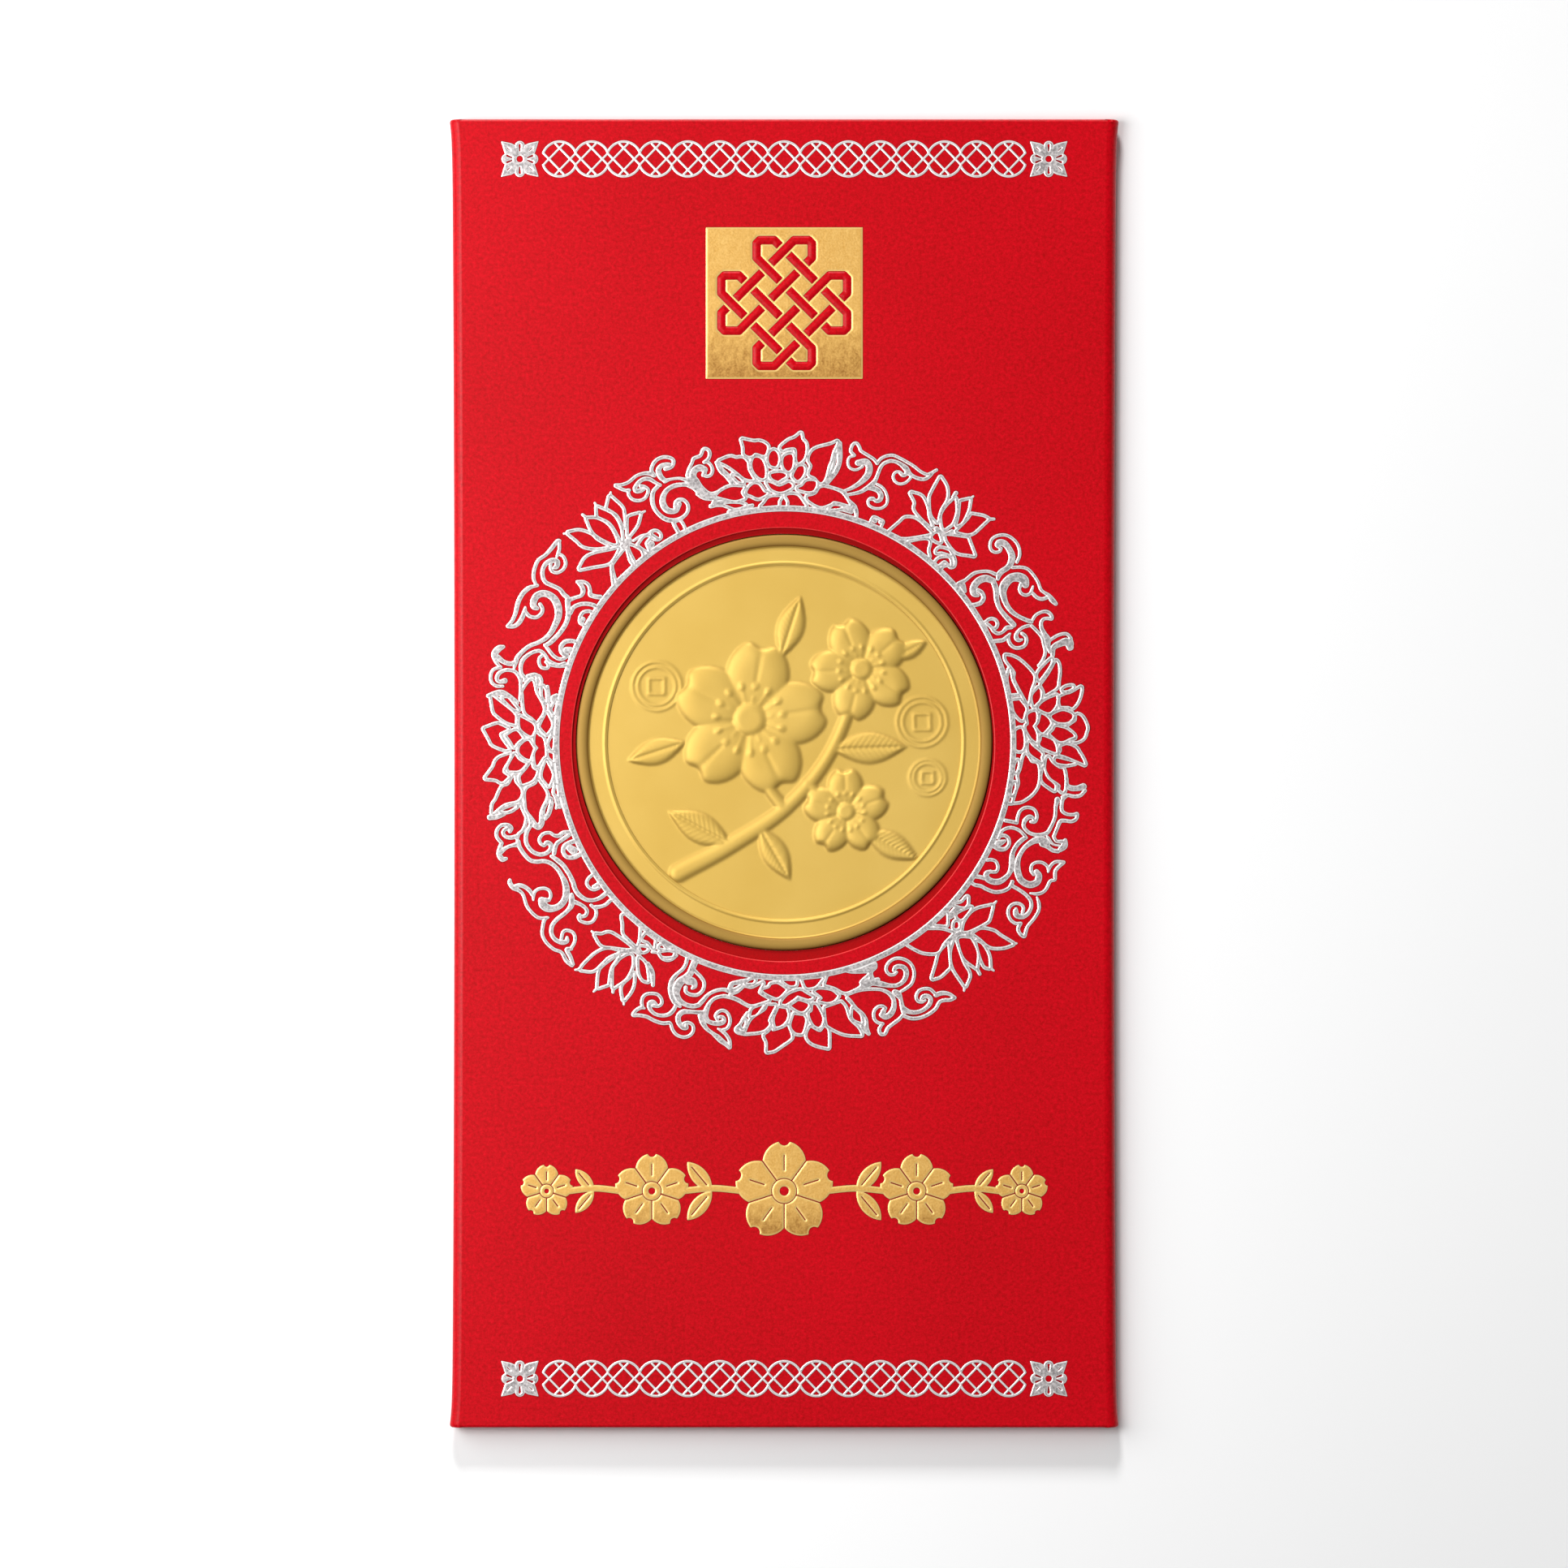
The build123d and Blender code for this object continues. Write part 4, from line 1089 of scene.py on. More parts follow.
small_lotus_4 = """
-7.6 8.5 ^, -5.87 7.64, -4.8 6.3, -4.67 5.3, -3.87 3.86 ^, -5.87 4.79, -7.27 6, -7.4 7.14;
-3.13 8.07 ^, -1.7 7.14, -.87 5.43, -1.87 3.36, -3.2 4.5, -3.93 6.3;
-.27 8.29 ^, 1.13 6.43, .87 4.7, -.56 3.2 ^, -.07 5.7, -1.2 7.46 ^;
2.87 8.36 ^, 1.27 7.5 ^, 2.07 6, 1.73 4.36 ^, 3.13 5.8, 3.47 6.57;
-11.3 4.45 ^, -8.9 4.7, -6.8 4.2, -4 3.14, -2.5 2.7 ^, -4.9 2.26, -6.5 2.36, -8.9 3.36;
1.33 3.11 ^, 3.13 4.57, 3.87 4.86, 5.87 4.46 ^, 4 3.57;
-7.47 .07 ^, -6 1.36, -4.9 1.64, -1.27 1.97 ^, -2.4 .7, -2.56 0 ^;
-1.04 .03 ^, -.4 1.5, .13 1.93, 1.2 .79, .93 .03 ^;
1.93 1.36 ^, 4 1.64, 4.87 1.36 ^, 3.3 1.07, 2.8 .07 ^, 2.2 .86;
6.07 1.5 ^, 6.5 1.57, 7.07 1.29, 7.2 .86, 6.8 .71
"""
flower_strokes = {
    0: """
-13.9 6.4 .4, -13.5 5.4 .45, -12.6 4.6, -11.8 3.6 .4;
10.6 8.4 .4, 10.9 6.5 .6, 10.6 5, 9.2 3.3 .5;
-17.8 1.4 .35, -15 1.4 .45, -12 .9;
-14 .1 .3, -11 .2 .4, -8 .3 .3;
13.5 .3 .3, 16 .8 .4, 17 1.2 .3
""",
    37: """
-1 3.4 .4, 1.2 3.4, 2 4.4 .3;
5 2.3 .3, 6.5 2, 7.5 1.4, 7.2 .9, 6.3 .8, 5.7 .4, 5.6 0;
4.9 .4 .4, 5.3 .4;
-1.9 7.9 .3, -1.9 8.5 .35;
.9 8.8 .25, 1.1 9.5 .2;
5.9 8.5 .3, 6.8 9.1 .25
""",
    135.5: """
1.2 3 .4, 2.6 2.8, 4 2.8 .3;
-.4 4.2 .4, .2 3.8;
-2.5 .6 .5, 0 .6;
-8 3.8 .3, -9.4 3.9 .2;
3.3 7.6 .3, 3.6 8.5 .3;
-4.8 8.8 .3, -5.4 9.2 .2;
1.4 8.7 .3, 1.2 9.4 .2;
7.1 8.4 .3, 7.9 8.9 .2
""",
    177: """
-19 2.2 .35, -16.5 2.2 .6, -15 2.3 .5;
-19 .5 .4, -15 .35 .45, -12.5 .05 .35
""",
    217.5: """
-2 2.6 .4, -.4 2.6 .5, .4 3.3 .4, 1.2 3.8 .3;
-9.9 .3 .25, -9.2 1.1, -8 1.5, -6.9 1.5, -5.6 1.2, -4.4 1.5;
-8.3 5 .3, -6.8 3.7 .4, -5 3.1;
-4.7 8.4 .25, -5.2 9 .2;
-1.7 7.9 .3, -2.2 8.5 .25;
.6 9 .3, .8 9.9 .2;
5.2 8.8 .3, 6 9.4 .2;
7.9 4.4 .3, 9 4.5 .2
""",
    268: """
-13.5 .3 .3, -8 .3, 0 .3, 8 .3, 13 .3;
-11.9 9.2 .36, -12.1 8.4 .33, -11.8 7.4;
10.9 8.6 .4, 11.6 7.7, 11.6 6.8 .36, 11 5.8 .33, 10.3 5 .3
""",
    321: """
-1.2 2.5 .5, .6 2.6;
1.5 2.2 .25, 3.5 2.1, 5 1.8, 6.2 1.85, 7.3 1.5, 7.6 .8, 6.8 .4, 5.7 .7, 5.3 1.2;
4 .5 .5, 4.4 .5;
-8.9 0 .3, -7 1.2, -6 1.8;
-7.6 8.5 .25, -8.3 8.9 .2;
-3.1 8.1 .3, -3.3 8.9 .25;
-.3 8.3 .3, -.1 9 .2;
2.9 8.4 .3, 3.5 8.8 .2;
5.9 4.5 .3, 7.2 4.4 .2
""",
}
sprays = {
    22: """
-8.08 7.36 .28, -8.96 7.79, -8.83 8.64, -8.16 8.89, -7.47 8.5, -7 8.1, -5.6 7.83, -4.16 7.57, -3.28 7.21;
-8.8 2.64 .2, -7.2 3.2 .3, -5.6 4.14 .38, -4.6 5.14 .48, -4.35 5.86 .5, -4.7 6.6, -5.6 6.93, -7 6.57 .45;
-8.1 7.3 .24, -8.9 7, -9.05 6.4, -8.6 5.8, -7.8 5.6, -6.9 5.7, -6.2 6.1, -5.9 6.3;
-12 2.86 .25, -8.96 2.71, -7.8 2.4, -7.2 1.9, -6.5 1.6 .3, -5.2 1.2 .35, -4.4 .6, -4 0 .3;
-12 .4 .25, -11 .85, -10 1.05, -8 1, -6.2 1.1;
-8.2 .5 .4, -6.6 .6 .5, -5.6 .5 .4;
-3.25 7.3 .27, -2.9 7.9, -2.1 8.45, -1 8.83, .15 8.87, 3.2 8.7, 5 8.47, 6.1 8.46, 6.8 8.66, 7.7 9.6;
-7.5 2.35 .25, -5.1 3.05 .3, -3.9 3.75 .35, -2.9 4.5 .42, -2.5 5.3 .32, -2.45 6.3 .3, -2.3 7.1, -1.8 7.65,
 -.9 8.1, .2 8.25, 1.4 8.15 .36, 2.4 7.95 .45, 3.3 7.6 .38, 4.3 7.5 .3, 5.4 7.55, 6.4 7.8, 7 8.3,
 7.3 9 .28;
3.95 7.5 .25, 3.9 7, 3.4 6.3, 2.4 5.88, 1.3 5.95, .62 6.45, .75 7, 1.5 7.25, 2.3 7.1;
1.6 7.15 .25, 2.3 7.05 .32, 2.8 7.3 .3, 2.7 7.8 .35;
-1.9 4.75 .25, -.8 4.65, .3 4.3, 1.3 3.6, 1.6 2.9, 1.1 2.3, .2 1.95, -1 1.8, -2.1 1.95, -2.55 2.4,
 -2.3 2.8, -1.6 2.95;
-3.2 3.95 .3, -2.2 4.1 .4, -1.2 4.05, -.3 3.65, -.15 3.1 .38, -.8 2.75 .3, -1.6 2.85, -2.2 2.7 .25;
-.3 0 .27, -.2 .7, .6 .85, 1.6 .8, 2.5 .75, 2.6 .1;
.2 .4 .35, .7 .4;
1.9 .5 .3, 2.2 .5
""",
    58: """
-5.2 7.7 .27, -5.9 8.5, -7.2 9.05, -8.7 9.17, -10.3 8.85, -11.4 8.1, -11.8 7.2, -11.3 6.5, -10.4 6.15,
 -9.5 6.3, -9 6.8, -9.2 7.2;
-4.9 4.5 .3, -5.5 5 .42, -5.6 5.6, -5.5 6.3, -5.8 7 .48, -6.8 7.7 .5, -8.5 7.97 .46, -9.6 7.9 .5,
 -10.3 7.5, -10.2 7.1 .35, -9.4 7.15 .25;
-6 4.6 .3, -7.4 4.1 .27, -8.6 3.2, -9.2 2.4 .3, -9.3 1.2, -9.6 .3 .4, -9.6 0;
-8.8 .4 .5, -7.4 .2 .3;
-5.2 3.85 .45, -6.6 3.3 .52, -7.2 2.4, -6.9 1.5, -6 1 .5, -5.3 .95 .4, -4.7 1.2 .3;
-5.6 1.6 .35, -4.6 1.8, -3.4 1.6, -2.9 1, -3.2 .3, -3.6 0 .3;
-5.2 3.85 .4, -3.2 3.5 .45, -1.5 2.9 .4, .5 2.6 .36, 2.6 2.75 .38, 4.2 3 .42, 5.3 3.2 .4;
5.6 2.8 .3, 5.2 2.2 .35, 5.6 1.5 .27, 5.4 .9 .3, 4.5 .55, 3.2 .45, 2 .2;
1.5 .1 .27, 1.5 .9 .3, 2.3 1.4, 3.4 1.4, 4 .95, 3.6 .55 .25;
-.7 7 .55, -1.6 7.15 .66, -2.6 6.8, -3.3 6.1 .62, -3.35 5.4, -2.9 4.6, -1.8 4 .5, .2 3.63 .42,
 2.2 3.68 .38, 4 4.15 .33, 5.6 4.9, 6.4 5.4;
-1.2 6.5 .3, -.6 6.05 .27, .3 5.95, 1.1 6.3, 1.3 6.9, .8 7.4 .25, .4 7.7 .2;
-4.9 6.85 .27, -4.05 7.65, -3.2 8.2, -2.1 8.45, 0 8.54, 1.7 8.36, 2.6 8.57, 3.4 8.86 .33, 4.5 9 .42,
 5.4 9.2 .33;
3.6 8.5 .3, 3.4 7.9, 2.7 7.45, 1.8 7.25, 1.3 7.2 .25;
6.1 5.7 .27, 5.6 6.3, 5.6 7.2, 6.1 7.8 .3, 7 8.05, 7.6 7.9, 7.3 7.5 .25;
7.3 7.6 .28, 7 7, 7.4 6.5 .3, 8.5 6.25 .33, 9.8 6.3 .4, 11 6.4 .5, 12 6.2 .42, 13.5 6.2 .3;
6.9 4.9 .28, 6.7 4.2, 6.9 3.5, 7.5 2.95 .33, 8.3 2.8 .38, 8.9 3 .3, 9 3.4 .22;
7.8 3.7 .3, 8.7 3.95, 9.8 3.8, 10.5 3.2, 10.2 2.3, 9.3 1.85, 8.1 1.75, 7.2 1.95 .25, 6.7 2.3 .2;
6.7 2.2 .2, 7.1 1.7 .33, 7.3 1.1, 6.9 .4, 6.6 0 .3;
7.2 5.2 .28, 8.6 5.55, 10.2 5.85, 11.7 5.75, 13.3 5.6, 14.6 5, 15.5 4.3;
11.4 6.5 .28, 11.1 7.3, 11 8.2, 11.4 9, 12.4 9.3;
12.4 9.2 .3, 13.3 9 .5, 14 8.75 .42;
14.3 6.4 .33, 12.9 6.8 .42, 12.6 7.9 .5, 12.8 8.7 .6, 13.9 8.85 .5
""",
    115: """
-16.9 9 .5, -16.4 8.2 .42, -16.3 7.4, -16.8 6.9 .33, -18 6.75 .3;
-16.2 9.3 .3, -15.2 8.8, -14.8 8, -14.8 7.2, -14.2 6.7 .4;
-14.3 6.7 .33, -13 6.65 .3, -11.6 6.9, -11.2 7.6 .28, -11.4 8.4, -11.7 8.85 .3, -10.8 8.9, -10.1 8.4,
 -9.9 7.6, -9.5 7 .33, -8 6.85 .3, -6.3 6.75;
-13.6 6 .4, -12 6 .3, -10 6.2, -8 6.05, -6.6 5.8 .33, -5.7 5.1, -5.3 4.2 .3, -5.4 3.4, -6.2 2.7,
 -7.5 2.6 .35, -8.6 3, -8.6 3.5 .27, -8 3.8;
-7.7 3.4 .28, -8 3.9, -9.2 3.95, -10.3 3.5, -10.6 2.8, -10.2 2.1, -9.2 1.65, -7.8 1.6, -6.6 1.7;
-6.5 1.7 .3, -6.3 .9, -6.1 .2;
-11 .9 .3, -10.4 .4, -10.2 0;
-6.3 8.3 .33, -5.3 8.4 .5, -4.4 8.1 .4;
-5.9 8 .33, -5.6 7.3 .28, -6 6.9;
-3.9 7.9 .33, -3.7 7.2, -4 6.4 .36, -4.2 5.7 .5;
-5 7.8 .2, -4.8 7.2, -5 6.7 .25, -5.6 6.2, -5.9 5.9 .2;
-4.6 6.2 .5, -4.8 5.6 .55, -4.5 4.9 .5, -3.6 4.3 .42, -2 3.75 .36, 0 3.55, 1.6 3.7 .42, 3 4.1 .5, 4.3 4.9,
 4.6 5.7, 4.3 6.5, 3.2 7.05, 2 6.9 .48, 1.5 6.4 .4;
2.2 6.2 .3, 1.8 5.75, .8 5.5 .27, -.1 5.8, -.6 6.4, -.6 7, -.2 7.5 .25, .6 7.75 .15;
-2.3 9.1 .28, -1.2 8.7 .3, -.2 8.55, .7 8.8, 1.3 8.95 .25, 1.9 8.5 .28, 3.4 8.5, 4.4 8.3, 5.2 7.8,
 5.8 7 .2;
-2.4 9.1 .28, -2.1 8.4, -1.6 7.95, -.6 7.7, .5 7.75 .2;
5.8 8 .2, 6.6 8.6 .28, 7.8 9.05, 9.5 9.1, 11.3 9, 12.5 9.25 .3, 13.2 9.4, 13.3 8.8, 12.8 8.2, 11.7 8.05;
11.7 8.05 .28, 12.3 7.5, 12.3 6.7, 11.5 5.95, 10.3 5.7, 9.2 6, 8.7 6.6, 8.9 7.2, 9.9 7.5;
5.7 4.2 .25, 6.4 4.5 .3, 6.4 5.5, 6.5 6.5, 6.9 7.4, 7.8 7.95, 9.2 8.1 .33, 10.4 7.8 .36, 10.9 7.1 .42,
 10.5 6.7, 9.9 6.5 .25;
5.7 4.3 .3, 7.2 4.3, 8.6 3.8, 9.7 3, 10.2 2, 10.4 1.2, 11 .5, 11.1 0;
-4.1 3.5 .25, -3.4 3.1 .36, -1.8 2.7, 0 2.6, 1.6 2.9 .42, 3 3.3 .45, 4.5 3.4 .36, 6 3.2 .4, 7.2 2.8 .45,
 8 2.1, 8.1 1.3, 7.2 .9 .4, 6.3 1.2 .3;
6.2 1.4 .28, 5.6 1.85, 4.5 1.75, 3.7 1.2, 3.8 .6, 4.4 .1;
8.4 1 .33, 8.8 .4, 9.2 0;
-4.3 3.3 .28, -5 2.4, -5.1 1.5, -4.6 .8, -3.6 .3, -2.4 .15;
.6 0 .36, .7 .8, .1 1.5 .33, -1.2 1.75 .3, -2.4 1.4, -2.7 .8, -2.2 .3, -1.6 .2;
-.3 .4 .5, -1 .8 .4, -1.6 1.1 .25
""",
    154: """
-8.4 8.9 .3, -7.5 8.8, -6.4 8.4, -5.5 8.3, -4.2 8.75, -2.4 8.9, -.6 8.75, .9 8.3, 2 7.6;
-8.4 8.9 .3, -7.9 8.1, -6.8 7.5 .36, -5.6 7.3;
-5.6 7.1 .28, -5.2 6.3, -4.2 5.85, -3 5.75, -2 6.2, -1.9 6.8, -2.6 7.15, -3.3 7.2 .2;
1.3 6.9 .4, .6 7.5 .36, -.6 7.95 .33, -2 8.1, -3.5 7.9 .36, -4.3 7.4, -4.1 6.9, -3.3 6.65, -2.7 6.75 .25;
1.5 7.2 .45, 1.4 6.4 .36, 1.1 5.6 .33, 1.2 4.9 .5, 1.6 4.5 .42;
2 7.5 .25, 2.9 7.8 .3, 4.4 8.05, 5.6 8.3, 6.5 8.85, 7.3 8.7, 7.3 8.1, 6.4 7.6 .25;
6.3 7.6 .28, 7.2 7.2, 7.6 6.6, 7.2 5.8, 6.2 5.4, 5.2 5.5, 4.7 5.9;
5.9 6.5 .42, 5.3 6.9, 4.2 6.8 .45, 3.2 6.3 .42, 2.6 5.6 .36, 2.5 5, 2.9 4.3 .33, 4 3.6 .28, 5.5 3.15,
 7.5 2.8, 9.5 2.65, 12 2.8;
5.4 6.2 .42, 4.9 5.9 .3;
.4 4.75 .25, -.8 4.7 .28, -2.4 4.5, -3.7 3.8, -4.35 2.9, -4.2 2, -3.2 1.2, -1.8 .75, -.3 .75, .9 1.1,
 1.4 1.6, 1.1 2.2, .2 2.45, -.6 2.35 .25;
6.5 2.1 .45, 5 2.4, 3.6 2.9 .42, 2 3.5 .33, .4 3.85, -1.2 3.7 .36, -2.4 3.1 .4, -2.6 2.4, -1.9 1.9 .36,
 -.9 1.75, -.2 2 .3;
5 2.3 .5, 6.2 2, 7.4 1.85 .36, 8.1 1.75 .28;
5.3 1.8 .45, 5.2 1.2 .4, 4.7 .7 .5, 3.7 .6 .42, 3.4 .3;
3.6 .3 .42, 5 .4 .5, 7 .35 .42, 8.6 .3 .33, 10.2 .1 .2;
9.5 8.2 .33, 10.2 7.4 .4, 10.4 6.7 .3;
9.5 8.2 .3, 9.6 7.4 .36, 9.2 6.5 .27, 9.6 5.6 .3, 10.6 4.7, 11.4 3.7 .33, 11.9 3.2
""",
    200: """
-12 6.95 .42, -10.6 6.9, -10.2 6.6, -10.8 5.9 .3, -11.2 5.2, -11.9 4.4;
-9.4 9 .36, -8.6 8.7, -7.6 8.4 .42, -6.8 8.1, -5.6 7.75 .3, -4.3 7.4 .33, -3.2 6.8 .42, -2.4 6.1;
-9.5 9 .3, -9.2 8.2, -8.4 7.6, -7.4 7.2, -6.5 7.05 .2;
-7.4 7.05 .25, -8.3 6.7 .28, -8.6 5.9, -8.2 5.2, -7.4 4.75, -6.4 4.7, -5.6 5.1, -5.4 5.6, -5.9 5.95;
-3.2 6 .5, -4.2 6.45 .36, -5.4 6.5, -6.6 6.3 .4, -7.3 5.95 .36, -7 5.5 .28, -6.2 5.55;
-3.2 6 .5, -3.2 5.2 .42, -3.4 4.3 .33, -4.2 3.5 .3, -5.6 3, -7 2.85 .33, -8.8 3 .25, -10.5 3.3, -12 3.6;
-1.3 4.9 .36, -1.8 4.3, -2.6 3.3 .3, -3.8 2.6, -5.4 2.15, -7 2.1 .36, -8.4 2.15, -9.6 1.7 .28,
 -10.1 1.2 .36;
-7 2 .36, -7.1 1.2 .3, -8.2 .85, -9.6 .6 .36, -10.8 .35 .3;
-12 1.15 .25, -10.6 1.1 .3, -10.1 1.2;
-12 .2 .25, -11 .3 .3;
-2.9 5.7 .5, -1.6 5.8 .33, 0 6.05, 1.3 6.4 .4, 1.8 7.1, 1.3 7.8, .3 8.2 .36, -.5 8.1 .3, -.2 7.75;
.4 7.7 .25, -.4 7.4 .28, -1.4 7.5, -1.9 8.1, -1.6 8.8, -.6 9.3, .8 9.35, 1.9 8.95, 2.6 8.4, 3 8.3;
3 8.3 .3, 4.2 8.7, 5.8 8.85, 7.4 8.85, 8.8 9.15, 9.8 9.5, 9.8 8.9, 9.2 8.2, 8.5 8.05 .2;
8.9 8.1 .28, 9.6 7.5, 9.8 6.8, 9.2 6.2, 7.6 5.75, 6.4 6, 5.9 6.5, 6.3 7, 7.3 7.25;
3.1 6 .3, 3.2 6.7 .33, 3.8 7.4, 5 7.9 .3, 6.4 8.05, 7.6 7.75 .33, 8.1 7.2 .36, 7.6 6.85, 6.8 6.9 .25;
-1.3 4.9 .36, -.3 5.25, 1.2 5.4, 2.8 5.2 .42, 4 4.6 .5, 4.4 3.8 .6, 4.2 3, 3.4 2.3 .55, 2.9 1.6 .5,
 2.9 .9, 2.9 .1;
2.2 5.9 .25, 3.6 5.7 .33, 4.9 5 .36, 5.8 4.1, 6 3.2, 5.6 2.3 .3, 4.9 1.5, 4.7 .7, 5 0;
2.6 3.4 .3, 2.2 3.9, 1 4, -.4 3.7, -1.2 2.9, -.9 2, .2 1.5, 1.4 1.2, 2.3 1;
2.6 2.5 .6, 1.6 2.4 .55, .9 2.8 .4, 1.2 3.2 .25
""",
    240: """
-15.5 9.3 .3, -14.2 9.4 .33, -12.4 9.15 .28, -11 9.6, -9.2 9.8, -7.6 9.6, -6.4 8.9, -5.6 8.2, -5.7 7.7 .2;
-15.5 9.1 .28, -14.2 8.7 .33, -12.7 8.4, -13.2 7.9 .28;
-13.1 8 .28, -12.8 7.2, -12.1 6.6, -11 6.4, -9.9 6.8, -9.7 7.3, -10.2 7.8, -10.6 8.1;
-4.7 3.6 .3, -5.5 3.9 .42, -6.5 4.4, -6.9 5.2 .33, -7 6, -7 7, -7.4 7.9, -8.4 8.55, -9.7 8.7, -11 8.3 .36,
 -11.5 7.7, -11 7.35 .25;
-6.4 3.8 .35, -7.6 3.4 .3, -8.8 3.2, -9.7 3.3, -10.1 3.8, -9.7 4.3;
-9.2 4.3 .28, -9.4 4.6, -10.3 4.7, -11.6 4.2, -12.1 3.5, -11.6 2.7, -10.6 2.3, -9.2 2.4;
-10.2 2.1 .33, -10.8 1.6 .3, -11.3 .9, -11.3 .1;
-9.3 0 .36, -9.2 .9 .33, -8.6 1.8 .3, -7.4 2.5 .33, -5.6 2.85 .36, -4.2 2.85, -2.6 2.6, -.6 2.5, 1.6 2.6,
 3.4 3, 4.7 3.45 .28;
5 3 .33, 6 2.6, 6.8 2.1, 7.1 1.3, 7.4 .5, 7.6 .1 .3;
-7.2 .3 .28, -6.8 .9, -5.8 1.25, -4.6 1.2, -3.9 .7, -3.7 0;
-6.3 .1 .3, -6.2 .7;
-2.3 7.2 .55, -3.2 7.35 .6, -4.3 7 .55, -5 6.2 .48, -5.1 5.4, -4.6 4.6, -3.4 3.9 .5, -1.8 3.5 .45,
 0 3.4 .36, 1.8 3.5 .33, 3.4 3.9, 4.5 4.6, 5 5.4, 5.8 6.1, 7.2 6.5, 9 6.75, 10.2 6.7 .36;
-2.6 6.8 .42, -3 6.4 .25;
-3 6.4 .27, -2.4 5.9, -1.4 5.75, -.5 6.1, 0 6.8, -.1 7.4, -.6 7.8, -1.3 8.1 .2;
-5.6 7.8 .25, -5 8.5 .28, -4 8.95, -1.8 9.2, .5 8.9, 1.6 9.1 .3, 2.6 9.6 .36, 3.6 9.7, 4.1 9.55 .28;
2.6 9.3 .36, 2.4 8.7 .33, 1.6 8.2, .5 7.9, -.4 7.9 .28;
8 8.9 .28, 8.2 9.4 .4, 9.2 9.55, 10.2 9.2 .36, 11 8.75 .3;
9.6 9.2 .42, 9.9 8.4 .3, 9.9 7.6, 9.7 6.9 .4;
11 8.75 .3, 12.4 9.1, 13.6 8.8, 14.2 8.1, 13.9 7.4 .36, 13.2 7.1 .42, 12.6 7.3 .3;
11.3 6.6 .33, 11.4 7.4, 11.9 8 .3, 12.7 8.2, 13.2 7.9, 13.3 7.5;
10.9 6.7 .33, 11.6 6.3 .3, 12 5.7, 12.9 5.2, 14.2 4.8, 15.2 4.85, 16.5 5, 18 5;
14.8 4.3 .42, 13.4 4.3, 12.4 4.6 .33, 11.5 5.2, 10.2 5.65, 8.8 5.75, 7.2 5.4, 6.1 4.7, 5.8 3.9, 6.2 3.2,
 7.1 2.95 .36, 7.8 3.3, 7.5 3.7 .28;
7.5 3.8 .28, 8.2 4.1, 9.2 4, 9.9 3.3, 9.6 2.5, 8.7 2.1, 8.2 1.5 .33, 8.5 .9, 8.1 .2;
2.1 0 .36, 2.2 .9, 3 1.7 .33, 4.4 1.85, 5.5 1.4 .36, 5.7 .6, 5.6 0;
3.6 .6 .6, 4.6 .9 .5;
12.2 4.1 .36, 11.5 3.6, 12.2 3 .33, 13.8 2.7 .28, 15.2 2.4, 16.4 1.7, 18 1.4 .36;
12.9 2.5 .3, 13.6 1.9, 14.9 1.4, 16 1.1;
14.4 .8 .2, 15.2 .4 .42, 16.8 .4, 18 .5;
16.2 9.3 .42, 16 8.4 .36, 16.4 7.2 .33, 16.4 6.4, 17 5.6, 17.6 5.1
""",
